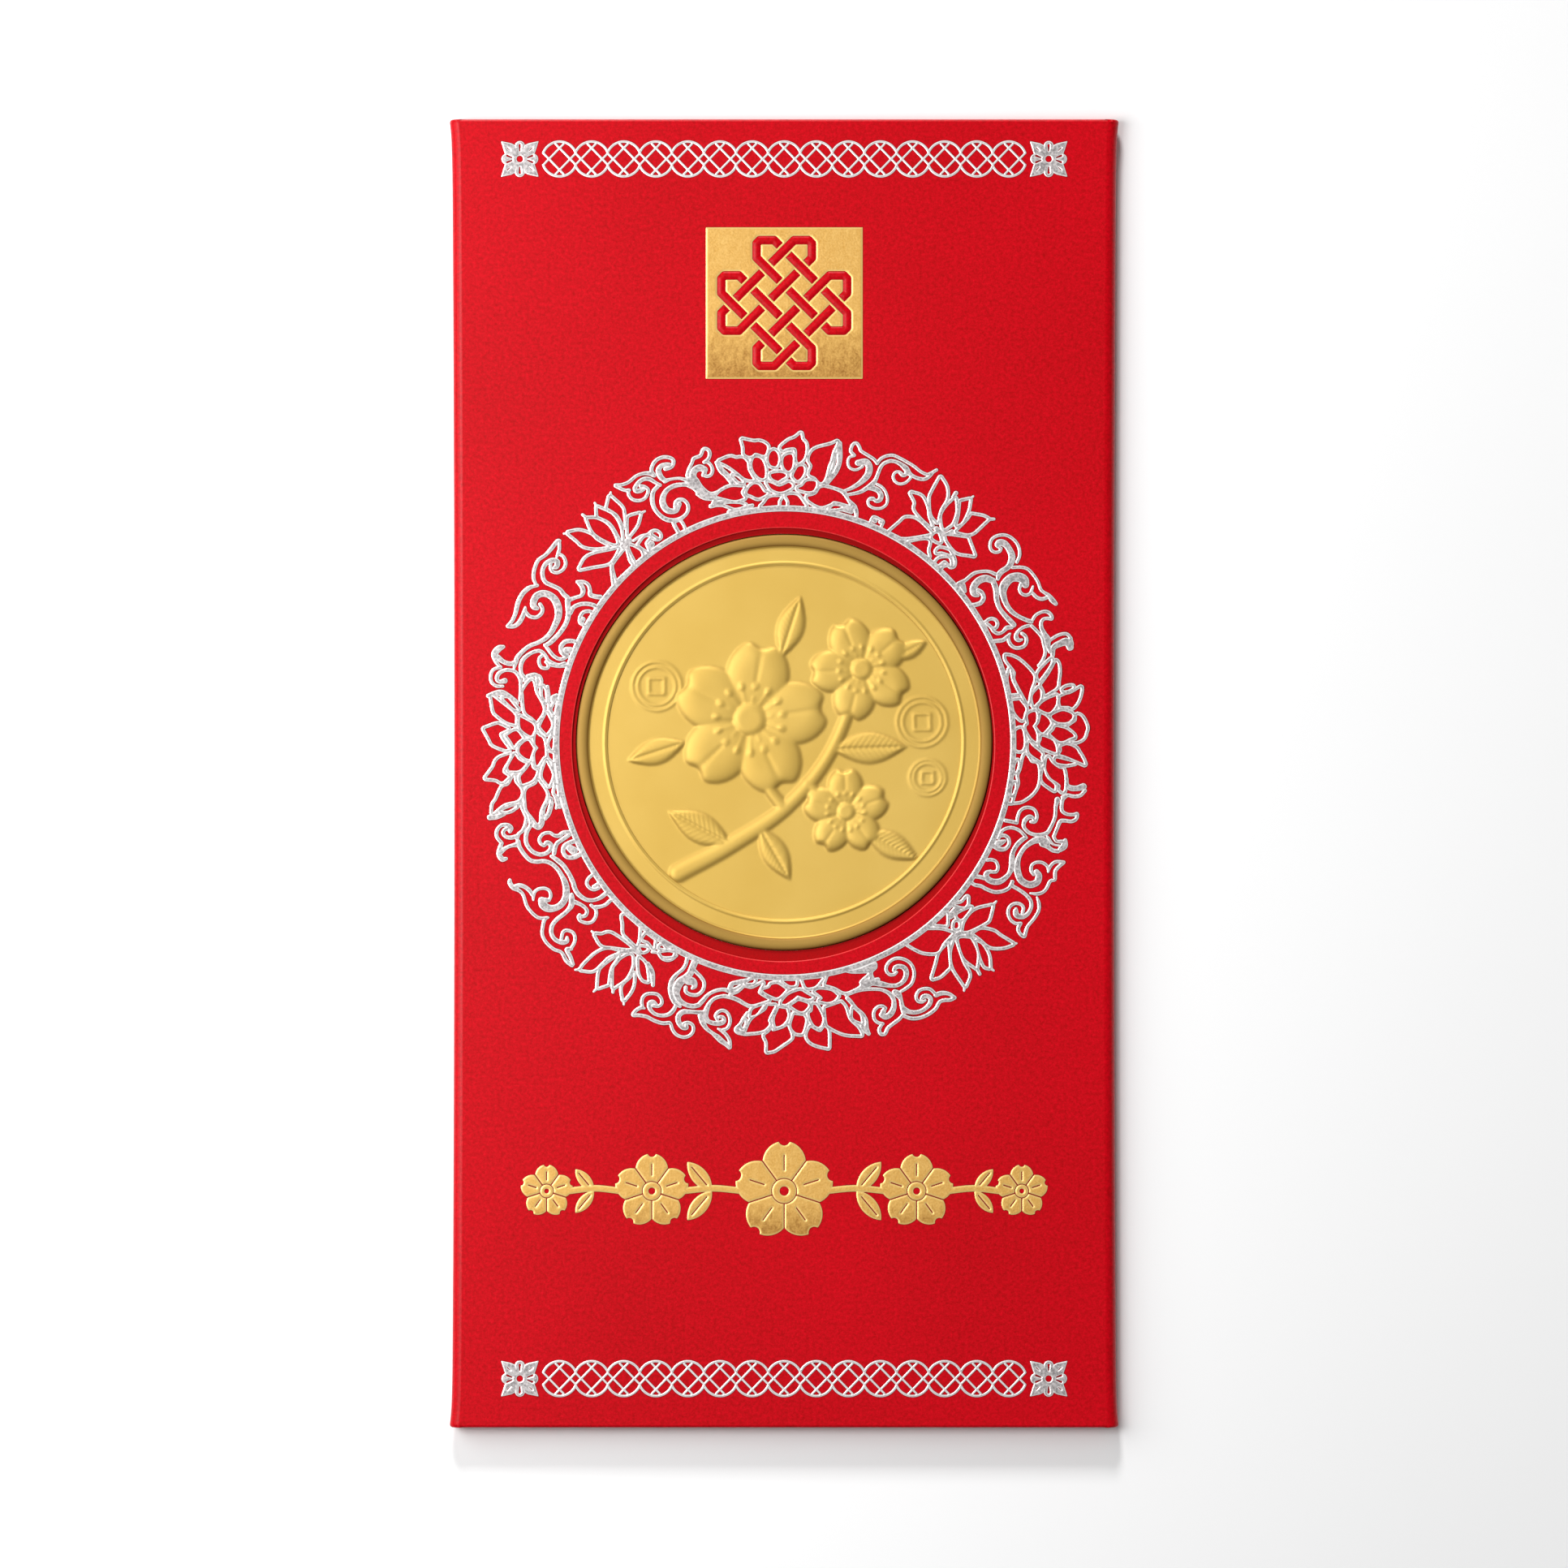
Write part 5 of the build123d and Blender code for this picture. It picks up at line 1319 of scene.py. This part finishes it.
    296: """
-17.2 8.8 .36, -16.6 8 .45, -16.2 7.2, -16.6 6.2 .36, -17.4 5.2 .3;
-14.9 7.2 .25, -15.1 8 .28, -14.6 8.7, -13.4 9, -12.2 8.8, -11.4 8;
-13.8 7.1 .42, -14.2 7.8 .3, -13.6 8.15 .33, -12.6 8, -11.8 7.4 .3, -11.5 6.6, -11.7 5.9, -12.8 5.2,
 -14.5 4.9, -17 4.7;
-7.6 8.4 .3, -8.2 8.9 .48, -9.4 9.2, -10.6 8.8 .33, -11.4 8.1 .25;
-9.8 8.7 .42, -10.3 7.8 .36, -10.3 6.9, -9.8 6.4;
-11.2 6.3 .2, -9.6 6.3 .36, -8.6 6.25, -7 5.8 .33, -5.6 5.2, -4.4 4.4, -2.9 3.7 .36, -1.2 3.35 .4,
 .6 3.3 .45, 2.4 3.4 .5, 4 3.9 .55, 5.2 4.8, 5.45 5.8 .5, 5 6.6, 4 7.1, 2.8 7.1, 1.9 6.8 .45, 1.9 6.3 .33;
-13 4.7 .2, -12.4 4.6 .33, -11.6 5.2 .3, -10.2 5.55 .33, -8.6 5.45, -7 4.8 .3, -6 4, -6 3.4, -6.6 2.8,
 -7.2 2.4, -7.5 1.6, -7.4 .9, -6.6 .3;
-6.6 3.3 .28, -7.4 3.55, -8.4 3.4, -9.2 2.9, -8.9 2.2, -8.2 2.2, -7.7 2.6;
-8 2 .3, -7.8 1.2, -7.4 .5, -7 0;
-4.3 3.5 .25, -4.9 2.9 .3, -5.8 2, -6.1 1.2, -5.6 .6, -4.6 .3;
-4.3 3.4 .28, -3.4 2.95 .36, -1.6 2.5, .4 2.2, 2.4 2.15, 4.2 2.45 .4, 5.6 3, 6.6 3.4;
4.6 2.3 .36, 6 2.3 .33, 7.4 1.8, 8.4 1.1, 9 .4, 9.1 0;
6.8 3.3 .36, 8 2.8 .3, 9.2 2.3, 10.2 2.4 .36, 10.9 2.9, 11.1 3.6 .3;
11.1 3.7 .3, 11.9 3.1, 12.1 2.4, 11.4 1.8, 10.6 1.4 .36, 11 .7, 11.6 .2;
3.7 0 .3, 3.8 .6, 4.9 .95, 6.3 .9, 7.2 .4, 7.4 0;
4.4 .5 .4, 4.8 .5;
-4.8 .4 .4, -4.4 1.1 .36, -3.2 1.45, -1.8 1.2, -1 .5 .33, -.8 0;
-3.6 .6 .55, -3 .2 .4;
-3.7 8.8 .28, -2.4 8.5 .3, -.9 8.5 .33, 1.2 8.8 .36, 3 8.8, 4.4 8.5, 5.2 8.1 .28, 5.8 7.7;
-3.7 8.7 .3, -3.2 8 .33, -2.2 7.6 .36, -.8 7.5, .5 7.6 .3, 1 7.7 .2;
.2 7.4 .3, -.2 6.7, .2 5.9, 1.4 5.5, 2.4 5.7, 2.9 6.2;
5.8 7.9 .25, 6.6 8.6 .3, 8 9.1, 9.8 9.35, 11.4 9, 13 8.9 .33, 14.8 8.9, 15.2 8.7 .25;
15 8.7 .28, 14 8.1, 13 7.8, 12.4 7.7 .2;
13.2 7.7 .28, 13.3 7, 12.6 6.3, 11.4 6.1, 10.2 6.4, 9.7 7, 10 7.5, 10.7 7.8;
7.1 3.6 .36, 7.2 4.2, 7.6 5 .33, 7.4 6, 7.2 7, 7.8 7.7, 8.9 8.2, 10.2 8.3 .36, 11.4 7.9 .4, 11.8 7.3,
 11 7, 10.4 7.2 .25;
-11.8 4.3 .36, -11.2 3.6, -11.4 3.1 .36, -13 2.5 .3, -15 2 .3, -18 1.5;
-13 1.6 .3, -15 1.2 .3, -18 .9;
-14.6 .2 .36, -15.4 .6 .42, -16.6 .3 .4, -18 .7
""",
    336: """
-10 9.2 .28, -9 8.8, -7.6 8.6, -5.8 8.75, -4.4 8.6, -3.2 8.2 .36, -2.7 7.8;
-10.1 9.1 .28, -9.4 8.3, -8.7 7.8, -8.3 7.7;
-8.5 7.8 .28, -8.9 7.1, -8.6 6.4, -7.6 5.9, -6.4 5.8, -5.3 6.2, -5 6.6, -5.4 7.1, -6 7.4;
-2.4 6.3 .28, -3 6.8, -3.8 7.6 .33, -4.8 7.95, -6 7.9, -7.1 7.55, -7.2 7.15 .36, -6.4 6.9, -5.7 6.8 .25;
-2.6 7.7 .3, -2.7 8.4, -2 9, -.9 9.35, .4 9.3, 1.5 8.9, 1.95 8.4, 1.5 7.9, .8 7.75, -.1 7.85 .33;
-1.2 6.6 .36, -1.6 7.2 .42, -1.5 8, -.7 8.4 .36, .3 8.3, .9 8.1;
-1.2 6.5 .36, 0 6.4 .25, 1.6 6.1, 2.6 5.7 .3, 3.2 5.4 .42;
-3 6.3 .33, -4.2 6, -5.2 5.2 .36, -5.7 4.2 .33, -5.5 3.2, -4.8 2.3 .36, -3.6 1.7, -2.2 1.4, -.4 1.5 .3,
 .8 1.9, 1.3 2.6, .9 3.3, 0 3.6 .33, -.9 3.5, -1.4 3 .36;
3 4.9 .33, 1.8 5.2, .2 5.45 .36, -1.4 5.4, -2.8 4.9 .42, -3.6 4.1 .48, -3.5 3.2, -2.6 2.7 .42, -1.6 2.6,
 -.8 2.9 .36, -.4 3.1;
3 4.9 .42, 4.2 4.4 .6, 5 3.6, 5.6 3 .5, 7 2.6 .3, 8 2.5;
3.4 5.4 .5, 4.4 5.2 .6, 4.8 4.4, 5.2 3.6;
7.2 6 .48, 6.4 6.4 .5, 5.2 6.3, 4.5 5.6, 4.9 4.5, 5.8 3.5 .4, 7 2.9 .3, 8.6 2.85, 10.5 3.1, 12 3.3;
7 5.6 .36, 6.6 5.4 .3;
6.6 5.4 .28, 7.4 5.1, 8.3 5.2, 8.8 5.7, 8.7 6.3, 8.2 6.8, 7.6 6.9;
3.4 6 .28, 4.2 6.7, 5.2 7.3, 5.8 7.75 .3, 7.2 7.85, 8.1 8.5, 8.9 8.3, 9.1 7.8, 8.6 7.2, 7.6 6.9;
4.2 3.4 .33, 5.2 2.7, 6.6 2.3, 7.8 2.2 .4, 7.2 1.7, 6.3 1.4 .25;
7.8 2.1 .36, 9.4 1.8 .28, 11 1.5, 12 1.3;
7 1.5 .42, 9 1.1 .33, 10.4 .6 .28, 11.4 .1;
-3.3 1.6 .36, -3.5 .9 .33, -3.4 0;
-1.8 1.4 .33, -1.5 .7 .28, -1.5 0
""",
}
lotuses = {
    0: large_lotus_top,
    87: large_lotus_right,
    177: large_lotus_bottom,
    268: large_lotus_left,
    37: small_lotus_1,
    135.5: small_lotus_2,
    217.5: small_lotus_3,
    321: small_lotus_4,
}


def closed_curve(points, corners, steps=5):
    """Closed curve through the points, smooth but for the points marked as corners."""
    if not any(corners):
        lap = np.vstack([points[-1:], points, points[:2]])
        return smooth(lap, steps)[steps : steps * (len(points) + 1)]
    first = corners.index(True)
    bends = np.append(np.flatnonzero(np.roll(corners, -first)), len(points))
    lap = np.roll(points, -first, 0)
    lap = np.vstack([lap, lap[:1]])
    return np.vstack([smooth(lap[start : end + 1], steps)[:-1] for start, end in zip(bends, bends[1:])])


def on_wreath(angle, degrees, out):
    """Places on the front for degrees clockwise from ANGLE and millimetres out from the base ring's edge."""
    turn = np.radians(angle + degrees)
    x = wreath_centre[0] + (ring_edge + out) * np.sin(turn)
    y = wreath_centre[1] + (ring_edge + out) * np.cos(turn) * wreath_oval
    return x, y


def petals(angle, drawing):
    """Closed outline, on the front, of each red petal in a drawing."""
    for curve in drawing.split(";"):
        words = [point.split() for point in curve.split(",")]
        places = np.array([[float(word) for word in point[:2]] for point in words])
        corners = [point[-1] == "^" for point in words]
        yield closed_curve(np.column_stack(on_wreath(angle, *places.T)), corners)


def bands(angle, drawing):
    """Path of x, y and half width, on the front, of each band in a drawing."""
    for curve in drawing.split(";"):
        points = []
        for point in curve.split(","):
            degrees, out, *given = (float(word) for word in point.split())
            width = given[0] if given else width
            points.append((degrees, out, width))
        degrees, out, widths = np.array(points).T
        yield smooth(np.column_stack([*on_wreath(angle, degrees, out), widths + band_spread]), band_steps)


def wreath():
    """Wreath on a grid of turn and distance out: a line round every petal, the bands, and the base ring."""
    turns = int(2 * np.pi * (ring_edge + wreath_reach / 2) / foil_grid)
    out = np.arange(-ring_width - ring_margin, wreath_reach, foil_grid)
    degrees, out = np.meshgrid(np.linspace(0, 360, turns + 1), out, indexing="ij")
    stamp = Stamp(*on_wreath(0, degrees, out))
    hollows = []
    for angle, drawing in lotuses.items():
        for outline in petals(angle, drawing):
            where = stamp.near(outline, petal_line + stamp_margin)
            depth = depth_in(stamp.x[where], stamp.y[where], outline)
            stamp.add(petal_line + depth, where)
            hollows.append((depth, where))
    for angle, drawing in (*flower_strokes.items(), *sprays.items()):
        for path in bands(angle, drawing):
            stamp.line(path, stamp.add)
    for depth, where in hollows:
        stamp.cut(depth, where)
    stamp.add(np.minimum(out + ring_width, -out))
    stamped("lotus_wreath", stamp, "lotus_wreath", "silver_foil", silver, shares=sectors)


wreath()


# Gold square: gold foil pressed hot into the front above the window, with a bevelled edge.
# An interlaced knot of the red card is left free of foil and pressed up through it.
square_low, square_high = box_mm("gold_square")
square_bevel = 0.3
knot_pitch = 3.2
knot_line = 1.15
knot_end = 1.2
knot_corner = 0.3
knot_gap = 0.2
knot_rise = 0.14


def gold_foil(start):
    grain = noise(start, 4.0, 3.0)
    streaks = noise(start, 1.5, 3.0, (1.0, 0.6, 1.0))
    depth = attribute(start, "depth")
    # Painted highlight: the foil is a paler gold along its bevelled edge.
    middle = spread(start, depth, 0.12, 0.32)
    # Painted shade: the foil goes from the upper to the lower, darker gold towards its lower end.
    up = attribute(start, "up")
    tone = spread(start, 0.6 * grain + 0.4 * streaks, 0.3, 0.7)
    upper = between(start, tone, srgb(210, 157, 73), srgb(230, 183, 102))
    lower = between(start, tone, srgb(150, 100, 36), srgb(206, 156, 78))
    face = between(start, spread(start, up + 0.3 * streaks, 0.2, 0.5), lower, upper)
    foil = between(start, middle, srgb(244, 206, 124), face)
    # The thin rim outside the foil's edge is drawn in dark red, a painted shadow.
    return {
        "Base Color": between(start, spread(start, depth, 0.045, 0.075), painted_edge_shadow, foil),
        "Roughness": 0.32 + 0.2 * grain * middle,
        "Normal": bumps(start, grain * middle, 0.02),
    }


def knot_depth(x, y, length):
    """How far each place lies inside the knot's lines: long loops that lean both ways and go over and under.

    At each crossing of the lattice the line that goes under is cut a little clear of the one over it.
    """
    along = (x + y) / np.sqrt(2)
    across = (y - x) / np.sqrt(2)
    end = length / 2 - knot_line / 2
    cut = knot_corner * (knot_pitch + knot_line)
    half = knot_pitch / 2
    quarter = np.array([(end, half - cut), (end - cut, half)])
    loop = np.vstack([quarter, quarter[::-1] * (-1, 1), -quarter, quarter[::-1] * (1, -1), quarter[:1]])
    lines = []
    for u, v in ((along, across), (across, along)):
        loops = [gap_to_path(u, v, loop + (0, place)) for place in (-knot_pitch, knot_pitch)]
        lines.append(knot_line / 2 - np.minimum(*loops))
    row, column = (np.clip(np.floor(place / knot_pitch), -2, 1) for place in (across, along))
    over = (row + column) % 2 == 0
    clear = knot_line / 2 + knot_gap
    beside = np.abs(across - (row + 0.5) * knot_pitch) - clear
    beyond = np.abs(along - (column + 0.5) * knot_pitch) - clear
    lines[0] = np.where(over, lines[0], np.minimum(lines[0], beyond))
    lines[1] = np.where(over, np.minimum(lines[1], beside), lines[1])
    return np.maximum(*lines)


def square():
    """Square of foil with a round shoulder, less the knot, and the knot itself as domed red card."""
    centre = (square_low + square_high)[:2] / 2
    half = (square_high - square_low)[:2] / 2
    places = grid_over(square_low, square_high)
    foil = Stamp(*places)
    card_knot = Stamp(*places)
    u, v = foil.x - centre[0], foil.y - centre[1]
    depth = knot_depth(u, v, 2 * (half[1] - knot_end))
    foil.add(np.minimum(half[0] - np.abs(u), half[1] - np.abs(v)))
    foil.cut(depth)
    card_knot.add(depth - 2 * shadow_rim_width)
    stamped("gold_square", foil, "gold_square", "gold_foil", stamped_gold, shoulder=square_bevel)
    stamped("knot", card_knot, None, "red_card", paper, rise=knot_rise, shoulder=knot_line / 2)


stamped_gold = finish("gold_foil", gold_foil, Metallic=0.4)
square()


# Gold sprig: gold foil pressed hot into the front below the window. Five blossoms in a row, smaller
# to the ends, stand on short stems with a pair of veined leaves between each two.
sprig_low, sprig_high = box_mm("gold_sprig")
sprig_blossoms = ((0.0, 6.4), (17.0, 4.8), (30.5, 3.4))
sprig_stem = 0.4
stem_start = 0.8
stem_arch = 0.35
sprig_leaf = 0.76
leaf_lean = 50.0
leaf_rib = (0.2, 0.82)
sprig_slit = 0.09
sprig_eye = 0.24
eye_gap = 1.6
eye_hole = 0.4
bowl_size = 0.43
bowl_place = 0.57
throat_size = 0.26
throat_end = 0.4
tip_notch = 0.12
tip_place = 1.03
petal_vein = (0.42, 0.72)


def along_axis(u, v, start, end):
    """Distance of each place from the straight line between two places on the axis of U."""
    return gap_to_path(u, v, np.array([[start, 0], [end, 0]]))


def blossom_stamp(stamp, centre, radius):
    """Blossom of round petals, notched at the tip and parted by slits, each with a vein, and an eye."""
    for petal in range(petal_count):
        u, v = turned(stamp.x - centre[0], stamp.y - centre[1], 90 + 360 / petal_count * petal)
        bowl = bowl_size * radius - np.hypot(u - bowl_place * radius, v)
        throat = throat_size * radius - along_axis(u, v, 0, throat_end * radius)
        slit = u * np.sin(np.pi / petal_count) - np.abs(v) * np.cos(np.pi / petal_count) - sprig_slit
        notch = tip_notch * radius - np.hypot(u - tip_place * radius, v)
        vein = sprig_slit - along_axis(u, v, petal_vein[0] * radius, petal_vein[1] * radius)
        stamp.add(np.minimum.reduce([np.maximum(bowl, throat), slit, -notch, -vein]))
    far = np.hypot(stamp.x - centre[0], stamp.y - centre[1])
    eye = sprig_eye * radius
    stamp.cut(eye + eye_gap * sprig_slit - far)
    stamp.add(eye - far)
    stamp.cut(eye_hole * eye - far)


def leaf_stamp(stamp, root, length, lean):
    """Leaf between two equal arcs, with a slit along its midrib."""
    u, v = turned(stamp.x - root[0], stamp.y - root[1], lean)
    half = leaf_slimness * length / 2
    radius = (length**2 / 4 + half**2) / (2 * half)
    lens = radius - np.hypot(u - length / 2, np.abs(v) + radius - half)
    rib = sprig_slit - along_axis(u, v, leaf_rib[0] * length, leaf_rib[1] * length)
    stamp.add(np.minimum(lens, -rib))


def sprig():
    """Sprig drawn from the middle out to both sides."""
    stamp = Stamp(*grid_over(sprig_low, sprig_high))
    level = sprig_high[1] - sprig_blossoms[0][1]
    for side in (-1, 1):
        for (place, radius), (next_place, next_radius) in zip(sprig_blossoms, sprig_blossoms[1:]):
            start, end = place + stem_start * radius, next_place - stem_start * next_radius
            stem = np.array([(start, level), ((start + end) / 2, level + stem_arch), (end, level)])
            curve = smooth(stem * (side, 1))
            stamp.line(np.column_stack([curve, np.full(len(curve), sprig_stem)]), stamp.add)
            root = (side * (place + radius + next_place - next_radius) / 2, level)
            for lean in (leaf_lean, -leaf_lean):
                leaf_stamp(stamp, root, sprig_leaf * radius, lean if side > 0 else 180 - lean)
        for place, radius in sprig_blossoms:
            blossom_stamp(stamp, (side * place, level), radius)
    stamped("gold_sprig", stamp, "gold_sprig", "gold_foil", stamped_gold)


sprig()


# Studio: a pale floor under soft light, and a camera straight above. The key light stands far off beyond the
# envelope's upper end, a weak one close to its left side, and a wide veil of light high up on the left.
frame_width = 201.75
frame_centre = (-0.03, -1.35)
camera_height = 1500.0
sensor = 36.0
floor_size = 6.0
sky_light = 0.2


def pale_floor(start):
    cloud = noise(start, 0.01, 2.0)
    return {"Base Color": between(start, cloud, (0.93, 0.93, 0.93, 1), (0.96, 0.96, 0.96, 1)),
            "Roughness": 0.7 + 0.1 * cloud}


bpy.ops.mesh.primitive_plane_add(size=floor_size)
floor = bpy.context.object
floor.name = "floor"
floor.data.materials.append(finish("pale_floor", pale_floor))

world = bpy.context.scene.world or bpy.data.worlds.new("studio")
bpy.context.scene.world = world
world.use_nodes = True
world.node_tree.nodes["Background"].inputs["Color"].default_value = (1, 1, 1, 1)
world.node_tree.nodes["Background"].inputs["Strength"].default_value = sky_light


def studio_light(name, place, size, power):
    """Square area light at PLACE, in metres, that faces the middle of the envelope."""
    light = bpy.data.lights.new(name, "AREA")
    light.size = size
    light.energy = power
    lamp = bpy.data.objects.new(name, light)
    lamp.location = place
    lamp.rotation_euler = (-lamp.location).to_track_quat("-Z", "Y").to_euler()
    bpy.context.scene.collection.objects.link(lamp)


studio_light("side", (-0.18, 0.02, 0.15), size=0.2, power=0.4)
studio_light("key", (-0.1, 1.0, 0.55), size=0.2, power=9.5)
studio_light("veil", (-0.26, 0.04, 0.6), size=0.25, power=1.6)

camera = bpy.data.objects.new("camera", bpy.data.cameras.new("camera"))
camera.data.sensor_width = sensor
camera.data.lens = sensor * camera_height / frame_width
camera.location = (frame_centre[0] * mm, frame_centre[1] * mm, camera_height * mm)
bpy.context.scene.collection.objects.link(camera)
bpy.context.scene.camera = camera
bpy.context.scene.view_settings.view_transform = "Standard"
